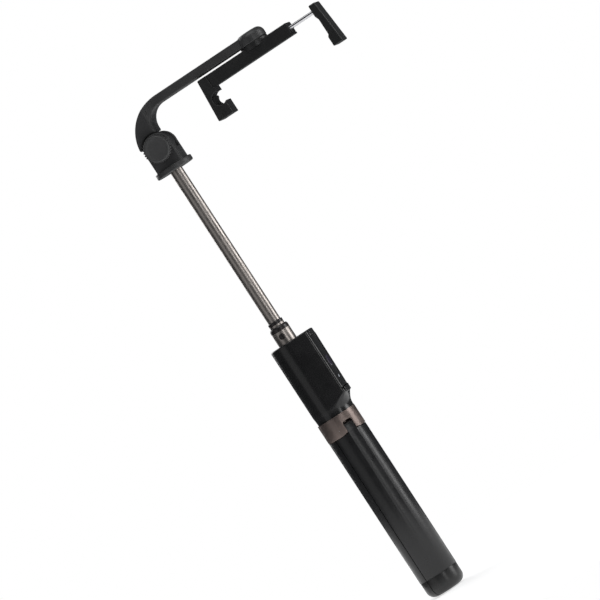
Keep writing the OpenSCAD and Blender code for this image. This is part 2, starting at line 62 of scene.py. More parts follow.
class Axis(Enum):
    """Direction that a lathed or extruded shape runs along, with the turn that brings +Z there."""

    X = Matrix.Rotation(math.radians(90), 4, "Y")
    Y = Matrix.Rotation(math.radians(-90), 4, "X")
    Z = Matrix.Identity(4)


# ---------------------------------------------------------------- outlines


def arc(centre: Point, radius: float, start: float, end: float, steps: int) -> list[Point]:
    """Points along a round stretch of an outline.

    Args:
        centre: Middle of the arc.
        radius: Its radius.
        start: Angle of the first point, in degrees.
        end: Angle of the last point, in degrees.
        steps: Number of straight pieces.

    Returns:
        The points, both ends included.
    """
    turns = (math.radians(start + (end - start) * i / steps) for i in range(steps + 1))
    return [(centre[0] + radius * math.cos(t), centre[1] + radius * math.sin(t)) for t in turns]


def line(start: Point, end: Point, steps: int) -> list[Point]:
    """Points between two corners, without the corners themselves."""
    share = [i / steps for i in range(1, steps)]
    return [(start[0] + (end[0] - start[0]) * s, start[1] + (end[1] - start[1]) * s) for s in share]


def rounded_rectangle(width: float, height: float, radius: float, steps: int = 8) -> list[Point]:
    """Outline of a rectangle about the origin with round corners.

    Args:
        width: Size on the first axis.
        height: Size on the second axis.
        radius: Radius of the corners.
        steps: Straight pieces in each corner.

    Returns:
        The outline, anticlockwise from the right side.
    """
    x, y = width / 2 - radius, height / 2 - radius
    corners = (((x, y), 0), ((-x, y), 90), ((-x, -y), 180), ((x, -y), 270))
    return [p for centre, start in corners for p in arc(centre, radius, start, start + 90, steps)]


def smooth_min(a: float, b: float, blend: float) -> float:
    """The lesser of two sizes, with a soft change from one to the other."""
    overlap = max(blend - abs(a - b), 0.0) / blend
    return min(a, b) - overlap * overlap * blend / 4


def span(node: str) -> tuple[Vector, Vector]:
    """Lowest and highest corner of a CAD node, in millimetres to the nearest thousandth."""
    low, high = (Vector(round(v / MM, 3) for v in corner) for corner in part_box(node))
    return low, high


def centre_of(node: str) -> Vector:
    """Middle of a CAD node, in millimetres."""
    return Vector((a + b) / 2 for a, b in zip(*span(node)))


# ---------------------------------------------------------------- solids


class Solid:
    """A closed mesh in the making, in millimetres, shaped with bmesh operators."""

    def __init__(self) -> None:
        """Starts with nothing in it."""
        self.bm = bmesh.new()

    @classmethod
    def lathe(
        cls,
        profile: Sequence[Point],
        axis: Axis = Axis.Z,
        centre: Sequence[float] = (0, 0, 0),
        steps: int = 96,
    ) -> "Solid":
        """Spins a profile of (radius, height) points round an axis.

        Args:
            profile: The section, closed if it doesn't begin and end on the axis.
            axis: Direction of the axis.
            centre: A point that the axis passes, where height is 0.
            steps: Number of facets round the axis.

        Returns:
            The turned solid.
        """
        made = cls()
        points = [made.bm.verts.new((r, 0, h)) for r, h in profile]
        pairs = list(zip(points, points[1:]))
        if profile[0][0] > 0 or profile[-1][0] > 0:
            pairs.append((points[-1], points[0]))
        edges = [made.bm.edges.new(pair) for pair in pairs]
        bmesh.ops.spin(
            made.bm, geom=points + edges, cent=(0, 0, 0), axis=(0, 0, 1), dvec=(0, 0, 0),
            angle=math.tau, steps=steps, use_merge=True, use_duplicate=False,
        )
        bmesh.ops.remove_doubles(made.bm, verts=made.bm.verts, dist=1e-4)
        return made.turned(axis.value, centre).outwards()

    @classmethod
    def prism(
        cls,
        outline: Sequence[Point],
        low: float,
        high: float,
        axis: Axis = Axis.Z,
    ) -> "Solid":
        """Extrudes an outline.

        Args:
            outline: Points of the outline: (x, y) along Z, (x, z) along Y, or (y, z) along X.
            low: Where the extrusion begins on the axis.
            high: Where it ends.
            axis: Direction of the extrusion.

        Returns:
            The extruded solid.
        """
        place = {
            Axis.X: lambda a, b: (low, a, b),
            Axis.Y: lambda a, b: (a, low, b),
            Axis.Z: lambda a, b: (a, b, low),
        }[axis]
        made = cls()
        face = made.bm.faces.new([made.bm.verts.new(place(a, b)) for a, b in outline])
        grown = bmesh.ops.extrude_face_region(made.bm, geom=[face])
        along = axis.value.to_3x3() @ Vector((0, 0, high - low))
        bmesh.ops.translate(made.bm, verts=only(grown["geom"], bmesh.types.BMVert), vec=along)
        return made.outwards()

    @classmethod
    def slab(cls, low: Sequence[float], high: Sequence[float]) -> "Solid":
        """A block between two corners."""
        made = cls()
        middle = [(a + b) / 2 for a, b in zip(low, high)]
        size = [b - a for a, b in zip(low, high)]
        place = Matrix.Translation(middle) @ Matrix.Diagonal((*size, 1))
        bmesh.ops.create_cube(made.bm, size=1, matrix=place)
        return made

    @classmethod
    def rod(
        cls, radius: float, low: float, high: float, axis: Axis, centre: Sequence[float]
    ) -> "Solid":
        """A plain round rod."""
        return cls.lathe([(0, low), (radius, low), (radius, high), (0, high)], axis, centre, 48)

    @classmethod
    def stack(
        cls,
        outline: Sequence[Point],
        levels: Iterable[float],
        shift: Callable[[Point, float], Point],
    ) -> "Solid":
        """Extrudes an outline up through levels, moving its points at each one.

        Args:
            outline: Points of the outline.
            levels: Heights, from the lowest to the highest.
            shift: Gives a point's place at a height.

        Returns:
            The solid, closed at both ends.
        """
        made = cls()
        first, *others = levels
        mark = made.bm.verts.layers.int.new("place")
        for i, point in enumerate(outline):
            made.bm.verts.new((*shift(point, first), first))[mark] = i
        base = cap = made.bm.faces.new(made.bm.verts)
        for level in others:
            grown = bmesh.ops.extrude_face_region(made.bm, geom=[cap])
            if cap is not base:
                bmesh.ops.delete(made.bm, geom=[cap], context="FACES_ONLY")
            cap = only(grown["geom"], bmesh.types.BMFace)[0]
            for v in cap.verts:
                v.co = (*shift(outline[v[mark]], level), level)
        return made.outwards()

    @classmethod
    def copy_of(cls, node: str) -> "Solid":
        """A merged copy of a CAD node's mesh, with its flat faces made whole."""
        made = cls()
        made.bm.from_mesh(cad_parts[node].data)
        bmesh.ops.scale(made.bm, vec=(1 / MM,) * 3, verts=made.bm.verts)
        bmesh.ops.remove_doubles(made.bm, verts=made.bm.verts, dist=1e-3)
        return made.plain()

    def plain(self) -> "Solid":
        """Joins neighbouring faces that lie in one plane."""
        bmesh.ops.dissolve_limit(
            self.bm, angle_limit=math.radians(ONE_PLANE), verts=self.bm.verts, edges=self.bm.edges
        )
        return self

    def outwards(self) -> "Solid":
        """Turns every face to point outwards."""
        bmesh.ops.recalc_face_normals(self.bm, faces=self.bm.faces)
        return self

    def turned(self, turn: Matrix, shift: Sequence[float] = (0, 0, 0)) -> "Solid":
        """Turns the mesh about the origin and then shifts it."""
        bmesh.ops.transform(self.bm, matrix=Matrix.Translation(shift) @ turn, verts=self.bm.verts)
        return self

    def rounded(
        self,
        width: float,
        segments: int = 3,
        angle: float = CREASE,
        where: Callable[[Vector], bool] = lambda at: True,
        clamp: bool = False,
    ) -> "Solid":
        """Rounds sharp edges.

        Args:
            width: Distance that the rounding takes from each side.
            segments: Facets across the rounding.
            angle: An edge whose faces meet at more than this, in degrees, is sharp.
            where: Says of an edge's middle whether that edge is rounded.
            clamp: Whether the rounding narrows where edges come close together.

        Returns:
            The same solid.
        """
        limit = math.radians(angle)
        edges = [
            e for e in self.bm.edges
            if e.is_manifold
            and e.calc_face_angle() > limit
            and where((e.verts[0].co + e.verts[1].co) / 2)
        ]
        bmesh.ops.bevel(
            self.bm, geom=edges, offset=width, offset_type="OFFSET", affect="EDGES",
            segments=segments, profile=0.5, clamp_overlap=clamp, loop_slide=True, material=-1,
        )
        bmesh.ops.remove_doubles(self.bm, verts=self.bm.verts, dist=2e-4)
        return self

    def _as_object(self, name: str) -> bpy.types.Object:
        """A plain object of the mesh so far, still in millimetres."""
        mesh = bpy.data.meshes.new(name)
        self.bm.to_mesh(mesh)
        made = bpy.data.objects.new(name, mesh)
        bpy.context.scene.collection.objects.link(made)
        return made

    def _combined(self, other: "Solid", operation: str) -> "Solid":
        """Runs a boolean with another solid.

        Args:
            other: The other solid, which is used up.
            operation: DIFFERENCE, UNION or INTERSECT.

        Returns:
            This solid, changed.
        """
        mine, tool = self._as_object("work"), other._as_object("tool")
        step = mine.modifiers.new("step", "BOOLEAN")
        step.operation, step.solver, step.object = operation, "MANIFOLD", tool
        graph = bpy.context.evaluated_depsgraph_get()
        found = bpy.data.meshes.new_from_object(mine.evaluated_get(graph))
        self.bm.clear()
        self.bm.from_mesh(found)
        for mesh in (mine.data, tool.data, found):
            bpy.data.meshes.remove(mesh)
        other.bm.free()
        bmesh.ops.remove_doubles(self.bm, verts=self.bm.verts, dist=1e-3)
        return self.plain()

    def cut(self, *others: "Solid") -> "Solid":
        """Takes other solids away."""
        for other in others:
            self._combined(other, "DIFFERENCE")
        return self

    def join(self, *others: "Solid") -> "Solid":
        """Adds other solids."""
        for other in others:
            self._combined(other, "UNION")
        return self

    def meet(self, other: "Solid") -> "Solid":
        """Keeps what is shared with another solid."""
        return self._combined(other, "INTERSECT")

    def beside(self, other: "Solid") -> "Solid":
        """Adds a solid that doesn't touch this one, with no boolean."""
        mesh = bpy.data.meshes.new("beside")
        other.bm.to_mesh(mesh)
        self.bm.from_mesh(mesh)
        bpy.data.meshes.remove(mesh)
        other.bm.free()
        return self


def only(geometry: Iterable, kind: type) -> list:
    """The vertices, edges or faces in what an operator returned."""
    return [g for g in geometry if isinstance(g, kind)]


# ---------------------------------------------------------------- node wiring


class Wiring:
    """Adds nodes to one tree and joins them."""

    def __init__(self, tree: bpy.types.NodeTree) -> None:
        """Works on the given tree."""
        self.tree = tree

    def add(self, kind: str, inputs: dict | None = None, **settings: object) -> bpy.types.Node:
        """Adds a node.

        Args:
            kind: The node's type, without its ShaderNode prefix.
            inputs: A value, or a socket to join from, for each input by name or number.
            **settings: The node's own properties.

        Returns:
            The new node.
        """
        node = self.tree.nodes.new(kind if kind.startswith("Node") else "ShaderNode" + kind)
        for key, value in settings.items():
            setattr(node, key, value)
        for key, value in (inputs or {}).items():
            if isinstance(value, bpy.types.NodeSocket):
                self.tree.links.new(value, node.inputs[key])
            else:
                node.inputs[key].default_value = value
        return node

    def math(self, operation: str, a: object, b: object = 0.0) -> bpy.types.NodeSocket:
        """A math node's result."""
        return self.add("Math", {0: a, 1: b}, operation=operation).outputs[0]

    def spread(
        self, value: object, low: float, high: float, out_low: float, out_high: float
    ) -> bpy.types.NodeSocket:
        """A value moved from one range to another, and held inside it."""
        sockets = {
            "Value": value,
            "From Min": low, "From Max": high,
            "To Min": out_low, "To Max": out_high,
        }
        return self.add("MapRange", sockets).outputs[0]

    def mix(self, share: object, a: object, b: object) -> bpy.types.NodeSocket:
        """A mix of two colours.

        Args:
            share: How much of the second colour there is.
            a: The first colour, or a socket that gives it.
            b: The second colour, or a socket that gives it.

        Returns:
            The mixed colour's socket.
        """
        node = self.add("Mix", {0: share}, data_type="RGBA")
        for number, value in ((6, a), (7, b)):
            if isinstance(value, bpy.types.NodeSocket):
                self.tree.links.new(value, node.inputs[number])
            else:
                node.inputs[number].default_value = (*value, 1)
        return node.outputs[2]


class Effect(Enum):
    """Effects that several finishes share, each one node group."""

    SKIN = "moulded_skin"
    LINES = "drawn_lines"
    RUBBED = "rubbed_edges"
    DUST = "settled_dust"


EFFECT_SOCKETS = {
    Effect.SKIN: (("Size", 0.35), ("Patch", 14.0)),
    Effect.LINES: (("Fine", 0.09), ("Along", 9.0)),
    Effect.RUBBED: (("Reach", 0.35), ("Break", 1.2)),
    Effect.DUST: (("Speck", 0.5),),
}
EFFECT_OUTPUTS = {
    Effect.SKIN: ("Height", "Tone", "Polish"),
    Effect.LINES: ("Height", "Tone"),
    Effect.RUBBED: ("Mask",),
    Effect.DUST: ("Mask",),
}


def effect_group(effect: Effect) -> bpy.types.NodeTree:
    """The node group of an effect, built the first time that it is asked for."""
    known = bpy.data.node_groups.get(effect.value)
    if known:
        return known
    tree = bpy.data.node_groups.new(effect.value, "ShaderNodeTree")
    for name, value in EFFECT_SOCKETS[effect]:
        socket = tree.interface.new_socket(name, in_out="INPUT", socket_type="NodeSocketFloat")
        socket.default_value = value
    for name in EFFECT_OUTPUTS[effect]:
        tree.interface.new_socket(name, in_out="OUTPUT", socket_type="NodeSocketFloat")
    wires = Wiring(tree)
    given = wires.add("NodeGroupInput").outputs
    place = wires.add("TexCoord").outputs["Object"]
    found = {
        Effect.SKIN: skin_effect,
        Effect.LINES: lines_effect,
        Effect.RUBBED: rubbed_effect,
        Effect.DUST: dust_effect,
    }[effect](wires, given, place)
    wires.add("NodeGroupOutput", dict(zip(EFFECT_OUTPUTS[effect], found)))
    return tree


def per_metre(wires: Wiring, size_mm: object) -> bpy.types.NodeSocket:
    """How many features of a size in millimetres fit in a metre."""
    return wires.math("DIVIDE", 1 / MM, size_mm)


def skin_effect(wires: Wiring, given: object, place: object) -> tuple:
    """Grain of a moulded plastic, with soft patches of tone and polish."""
    fine = per_metre(wires, given["Size"])
    cells = wires.add("TexVoronoi", {"Vector": place, "Scale": fine}, feature="SMOOTH_F1")
    finer = wires.math("MULTIPLY", fine, 2.3)
    sand = wires.add("TexNoise", {"Vector": place, "Scale": finer, "Detail": 2.0})
    low = wires.math("MULTIPLY", sand.outputs[0], 0.45)
    height = wires.math("ADD", cells.outputs["Distance"], low)
    wide = per_metre(wires, given["Patch"])
    patch = wires.add(
        "TexNoise", {"Vector": place, "Scale": wide, "Detail": 5.0, "Roughness": 0.6}
    ).outputs[0]
    closer = wires.math("MULTIPLY", wide, 3.1)
    smear = wires.add(
        "TexNoise", {"Vector": place, "Scale": closer, "Detail": 3.0, "Distortion": 1.4}
    ).outputs[0]
    broad, close = wires.math("MULTIPLY", patch, 0.55), wires.math("MULTIPLY", smear, 0.45)
    polish = wires.math("ADD", broad, close)
    return height, wires.spread(patch, 0.3, 0.7, 0, 1), wires.spread(polish, 0.35, 0.65, 0, 1)


def lines_effect(wires: Wiring, given: object, place: object) -> tuple:
    """Long fine lines that drawing or polishing leaves along a tube."""
    across, along = per_metre(wires, given["Fine"]), per_metre(wires, given["Along"])
    scale = wires.add("CombineXYZ", {0: across, 1: across, 2: along}).outputs[0]
    stretched = wires.add("VectorMath", {0: place, 1: scale}, operation="MULTIPLY").outputs[0]
    lines = wires.add("TexNoise", {"Vector": stretched, "Scale": 1.0, "Detail": 3.0}).outputs[0]
    tone = wires.add("TexNoise", {"Vector": place, "Scale": 90.0, "Detail": 4.0}).outputs[0]
    both = wires.math("ADD", wires.math("MULTIPLY", lines, 0.5), wires.math("MULTIPLY", tone, 0.5))
    return lines, wires.spread(both, 0.35, 0.65, 0, 1)


def rubbed_effect(wires: Wiring, given: object, place: object) -> tuple:
    """A mask along edges that handling has rubbed, broken up by noise."""
    reach = wires.math("MULTIPLY", given["Reach"], MM)
    soft = wires.add("Bevel", {"Radius": reach}, samples=6).outputs[0]
    flat = wires.add("NewGeometry").outputs["Normal"]
    same = wires.add("VectorMath", {0: soft, 1: flat}, operation="DOT_PRODUCT").outputs["Value"]
    bent = wires.spread(wires.math("SUBTRACT", 1.0, same), 0.015, 0.16, 0, 1)
    broken = per_metre(wires, given["Break"])
    gaps = wires.add("TexNoise", {"Vector": place, "Scale": broken, "Detail": 4.0})
    return (wires.math("MULTIPLY", bent, wires.spread(gaps.outputs[0], 0.38, 0.62, 0.15, 1)),)


def dust_effect(wires: Wiring, given: object, place: object) -> tuple:
    """A mask of fine dust on faces that look up."""
    up = wires.add("SeparateXYZ", {0: wires.add("NewGeometry").outputs["Normal"]}).outputs[2]
    speck = per_metre(wires, given["Speck"])
    specks = wires.add("TexNoise", {"Vector": place, "Scale": speck, "Detail": 5.0})
    clouds = wires.add("TexNoise", {"Vector": place, "Scale": 120.0, "Detail": 2.0})
    grains = wires.math("MULTIPLY", specks.outputs[0], clouds.outputs[0])
    lying, thick = wires.spread(up, 0.2, 1, 0, 1), wires.spread(grains, 0.22, 0.4, 0, 1)
    return (wires.math("MULTIPLY", lying, thick),)


# ---------------------------------------------------------------- finishes


@dataclass(frozen=True)
class Finish:
    """A surface that a piece can have."""

    name: str
    colour: tuple[float, float, float]
    rough: float

    def material(self) -> bpy.types.Material:
        """The finish's material, built once."""
        known = bpy.data.materials.get(self.name)
        if known:
            return known
        made = bpy.data.materials.new(self.name)
        made.use_nodes = True
        made.node_tree.nodes.clear()
        wires = Wiring(made.node_tree)
        shader = wires.add("BsdfPrincipled")
        wires.add("OutputMaterial", {0: shader.outputs[0]})
        self.paint(wires, shader)
        return made

    def paint(self, wires: Wiring, shader: bpy.types.Node) -> None:
        """Joins the finish's own nodes to the shader."""
        raise NotImplementedError

    def shade(self, factor: float) -> tuple[float, float, float]:
        """The finish's colour, lighter or darker."""
        return tuple(min(c * factor, 1.0) for c in self.colour)

    @staticmethod
    def effect(wires: Wiring, effect: Effect, **inputs: float) -> bpy.types.NodeOutputs:
        """The outputs of an effect's group, placed in this material with its own values."""
        node = wires.add("Group", node_tree=effect_group(effect))
        for key, value in inputs.items():
            node.inputs[key].default_value = value
        return node.outputs


@dataclass(frozen=True)
class Moulded(Finish):
    """Moulded plastic or rubber: grain, patches of polish, rubbed edges and a little dust."""

    grain: float = 0.35
    depth: float = 0.012
    polish: float = 0.1
    rubbed: float = 0.22
    dust: float = 0.06
    specular: float = 0.5
    coat: float = 0.0

    def paint(self, wires: Wiring, shader: bpy.types.Node) -> None:
        """Joins the grain, wear and dust to the shader."""
        skin = self.effect(wires, Effect.SKIN, Size=self.grain)
        worn = self.effect(wires, Effect.RUBBED)["Mask"]
        dust = self.effect(wires, Effect.DUST)["Mask"]
        body = wires.mix(skin["Tone"], self.shade(0.86), self.shade(1.14))
        edge = wires.mix(wires.math("MULTIPLY", worn, self.rubbed), body, self.shade(1.9))
        grey = tuple(0.22 + c * 0.5 for c in self.colour)
        colour = wires.mix(wires.math("MULTIPLY", dust, self.dust), edge, grey)
        low, high = self.rough - self.polish, self.rough + self.polish
        rough = wires.spread(skin["Polish"], 0, 1, low, high)
        rough = wires.math("SUBTRACT", rough, wires.math("MULTIPLY", worn, 0.08))
        bump = wires.add(
            "Bump", {"Height": skin["Height"], "Strength": 0.55, "Distance": self.depth * MM}
        ).outputs[0]
        wires.tree.links.new(colour, shader.inputs["Base Color"])
        wires.tree.links.new(rough, shader.inputs["Roughness"])
        wires.tree.links.new(bump, shader.inputs["Normal"])
        shader.inputs["Specular IOR Level"].default_value = self.specular
        shader.inputs["Coat Weight"].default_value = self.coat
        shader.inputs["Coat Roughness"].default_value = 0.12


@dataclass(frozen=True)
class Metal(Finish):
    """Bare, plated or lacquered metal with fine lines along it."""

    fine: float = 0.09
    along: float = 9.0
    depth: float = 0.002
    tone: float = 0.1
    metallic: float = 1.0
    coat: float = 0.0
    rubbed: float = 0.25

    def paint(self, wires: Wiring, shader: bpy.types.Node) -> None:
        """Joins the lines and wear to the shader."""
        lines = self.effect(wires, Effect.LINES, Fine=self.fine, Along=self.along)
        skin = self.effect(wires, Effect.SKIN, Size=0.2, Patch=9.0)
        worn = self.effect(wires, Effect.RUBBED, Reach=0.25)["Mask"]
        body = wires.mix(lines["Tone"], self.shade(1 - self.tone), self.shade(1 + self.tone))
        colour = wires.mix(wires.math("MULTIPLY", worn, self.rubbed), body, self.shade(1.5))
        low, high = self.rough * 0.8, self.rough * 1.25
        rough = wires.spread(skin["Polish"], 0, 1, low, high)
        bump = wires.add(
            "Bump", {"Height": lines["Height"], "Strength": 0.5, "Distance": self.depth * MM}
        )
        wires.tree.links.new(colour, shader.inputs["Base Color"])
        wires.tree.links.new(rough, shader.inputs["Roughness"])
        wires.tree.links.new(bump.outputs[0], shader.inputs["Normal"])
        shader.inputs["Metallic"].default_value = self.metallic
        shader.inputs["Coat Weight"].default_value = self.coat
        shader.inputs["Coat Roughness"].default_value = 0.2


@dataclass(frozen=True)
class Card(Finish):
    """Plain white card that glows a little, so it meets the background."""

    glow: float = 0.6

    def paint(self, wires: Wiring, shader: bpy.types.Node) -> None:
        """Gives the card its flat colour and glow."""
        shader.inputs["Base Color"].default_value = (*self.colour, 1)
        shader.inputs["Roughness"].default_value = self.rough
        shader.inputs["Emission Color"].default_value = (1, 1, 1, 1)
        shader.inputs["Emission Strength"].default_value = self.glow


@dataclass(frozen=True)
class Board(Finish):
    """A circuit board's solder mask over copper tracks."""

    track: float = 0.9

    def paint(self, wires: Wiring, shader: bpy.types.Node) -> None:
        """Joins the tracks to the shader."""
        place = wires.add("TexCoord").outputs["Object"]
        pitch = 1 / (self.track * MM)
        cells = wires.add("TexVoronoi", {"Vector": place, "Scale": pitch}, distance="MANHATTAN")
        tracks = wires.spread(cells.outputs["Distance"], 0.42, 0.5, 0, 1)
        skin = self.effect(wires, Effect.SKIN, Size=0.25)
        colour = wires.mix(tracks, self.colour, self.shade(2.2))
        rough = wires.spread(skin["Polish"], 0, 1, self.rough - 0.05, self.rough + 0.08)
        bump = wires.add("Bump", {"Height": tracks, "Strength": 0.6, "Distance": 0.03 * MM})
        wires.tree.links.new(colour, shader.inputs["Base Color"])
        wires.tree.links.new(rough, shader.inputs["Roughness"])
        wires.tree.links.new(bump.outputs[0], shader.inputs["Normal"])


HOUSING = Moulded(
    "housing_plastic", (0.0125, 0.0125, 0.013), 0.23,
    grain=0.22, depth=0.003, polish=0.04,
)
LEG = Moulded(
    "leg_plastic_skin", (0.011, 0.011, 0.0118), 0.31,
    grain=0.3, depth=0.004, polish=0.05,
)
FOOT = Moulded(
    "foot_rubber_skin", (0.014, 0.014, 0.014), 0.3,
    grain=0.28, depth=0.006, polish=0.06,
)
# Painted light: this black plastic's colour is lifted well above the housing's, standing in for fill
# light on the bracket, arm and knuckle.
HEAD = Moulded(
    "head_plastic_skin", (0.054, 0.054, 0.055), 0.42,
    grain=0.26, depth=0.005, polish=0.05,
)
HOLDER = Moulded(
    "holder_plastic", (0.0185, 0.0185, 0.019), 0.4,
    grain=0.3, depth=0.006, polish=0.05,
)
# Painted light: the knob's black plastic colour is lifted further still, standing in for the light on
# its face.
KNOB = Moulded(
    "knob_plastic", (0.074, 0.074, 0.075), 0.46,
    grain=0.26, depth=0.005, polish=0.05, rubbed=0.4,
)
BUSH = Moulded("bush_plastic_skin", (0.019, 0.016, 0.017), 0.36, grain=0.2, depth=0.003)
GUIDE = Moulded(
    "guide_plastic_skin", (0.62, 0.61, 0.56), 0.4,
    grain=0.3, depth=0.006, rubbed=0.1, dust=0.02,
)
PAD = Moulded(
    "pad_rubber_skin", (0.013, 0.013, 0.013), 0.66,
    grain=0.4, depth=0.02, rubbed=0.3, specular=0.35,
)
REMOTE = Moulded(
    "remote_plastic_skin", (0.012, 0.012, 0.0125), 0.24,
    grain=0.18, depth=0.004, polish=0.05,
)
BUTTON = Moulded(
    "button_plastic_skin", (0.02, 0.015, 0.034), 0.22,
    grain=0.2, depth=0.003, coat=0.4,
)
WINDOW = Moulded(
    "window_plastic", (0.7, 0.74, 0.8), 0.3,
    grain=0.2, depth=0.004, rubbed=0.05, dust=0.02,
)
HUB = Metal(
    "hub_lacquer", (0.215, 0.172, 0.156), 0.4,
    fine=0.25, along=0.25, depth=0.0004, tone=0.06, metallic=0.9, coat=0.1, rubbed=0.1,
)
POLE = Metal(
    "pole_satin", (0.42, 0.385, 0.36), 0.36,
    fine=0.4, along=30.0, depth=0.0, tone=0.03, rubbed=0.05,
)
CHROME = Metal(
    "rod_plating", (0.66, 0.66, 0.68), 0.16,
    fine=0.3, along=0.3, depth=0.0003, tone=0.03,
)
STEEL = Metal("plain_steel", (0.5, 0.5, 0.5), 0.3, fine=0.15, along=0.6, tone=0.12)
SPRING = Metal("spring_wire", (0.5, 0.5, 0.52), 0.22, fine=0.1, along=0.6, tone=0.1)
INNER = Metal("barrel_anodised", (0.06, 0.06, 0.065), 0.34, fine=0.08, along=12.0, tone=0.15)
BLACKED = Metal("blacked_steel", (0.035, 0.035, 0.037), 0.35, fine=0.2, along=0.2, tone=0.2)
CARD = Card("floor_card", (0.86, 0.86, 0.86), 0.8)
BOARD = Board("board_mask", (0.008, 0.07, 0.03), 0.3)


# ---------------------------------------------------------------- sub-assemblies


@dataclass
class SubAssembly:
    """Pieces that are built together. Sizes are fields, in millimetres."""

    flat_width: float = field(default=2.6, init=False)
    made: list[bpy.types.Object] = field(default_factory=list, init=False)

    def piece(
        self,
        solid: Solid,
        name: str,
        body: str,
        finish: Finish,
        slot: str,
        replaces: Sequence[str],
    ) -> bpy.types.Object:
        """Turns a solid into a finished piece of the object.

        Args:
            solid: The shape, which is used up.
            name: The piece's name.
            body: The CAD body that it rides on.
            finish: Its surface.
            slot: The record's material slot that it belongs to; not used.
            replaces: The CAD nodes that it stands for.

        Returns:
            The piece.
        """
        self.check_size(solid, name, replaces)
        for face in solid.bm.faces:
            face.smooth = 2 * face.calc_area() / face.calc_perimeter() < self.flat_width
        bmesh.ops.scale(solid.bm, vec=(MM,) * 3, verts=solid.bm.verts)
        mesh = bpy.data.meshes.new(name)
        solid.bm.to_mesh(mesh)
        solid.bm.free()
        mesh.set_sharp_from_angle(angle=math.radians(SHADED_APART))
        made = bpy.data.objects.new(name, mesh)
        bpy.context.scene.collection.objects.link(made)
        mesh.materials.append(finish.material())
        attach(made, body)
        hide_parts(*replaces)
        self.made.append(made)
        LOG.info("%s: %d faces on %s", name, len(mesh.polygons), body)
        return made

    @staticmethod
    def check_size(solid: Solid, name: str, replaces: Sequence[str]) -> None:
        """Warns where a solid reaches outside the CAD nodes that it stands for.

        Args:
            solid: The shape, in millimetres.
            name: The piece's name, for the warning.
            replaces: The CAD nodes.
        """
        boxes = [span(node) for node in replaces]
        for axis, letter in enumerate("xyz"):
            at = [v.co[axis] for v in solid.bm.verts]
            low = min(box[0][axis] for box in boxes) - min(at)
            high = max(at) - max(box[1][axis] for box in boxes)
            if max(low, high) > STRAY:
                LOG.warning("%s: past the CAD by %.3f and %.3f mm on %s", name, low, high, letter)

    def dress(self, finish: Finish, *nodes: str) -> None:
        """Gives CAD nodes that stay in view a finish.

        Args:
            finish: The surface.
            *nodes: Names of the nodes.
        """
        for name in nodes:
            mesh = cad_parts[name].data
            mesh.materials.clear()
            mesh.materials.append(finish.material())
            LOG.info("%s: CAD mesh in %s", name, finish.name)

    def build(self) -> None:
        """Builds and dresses every piece."""
        raise NotImplementedError


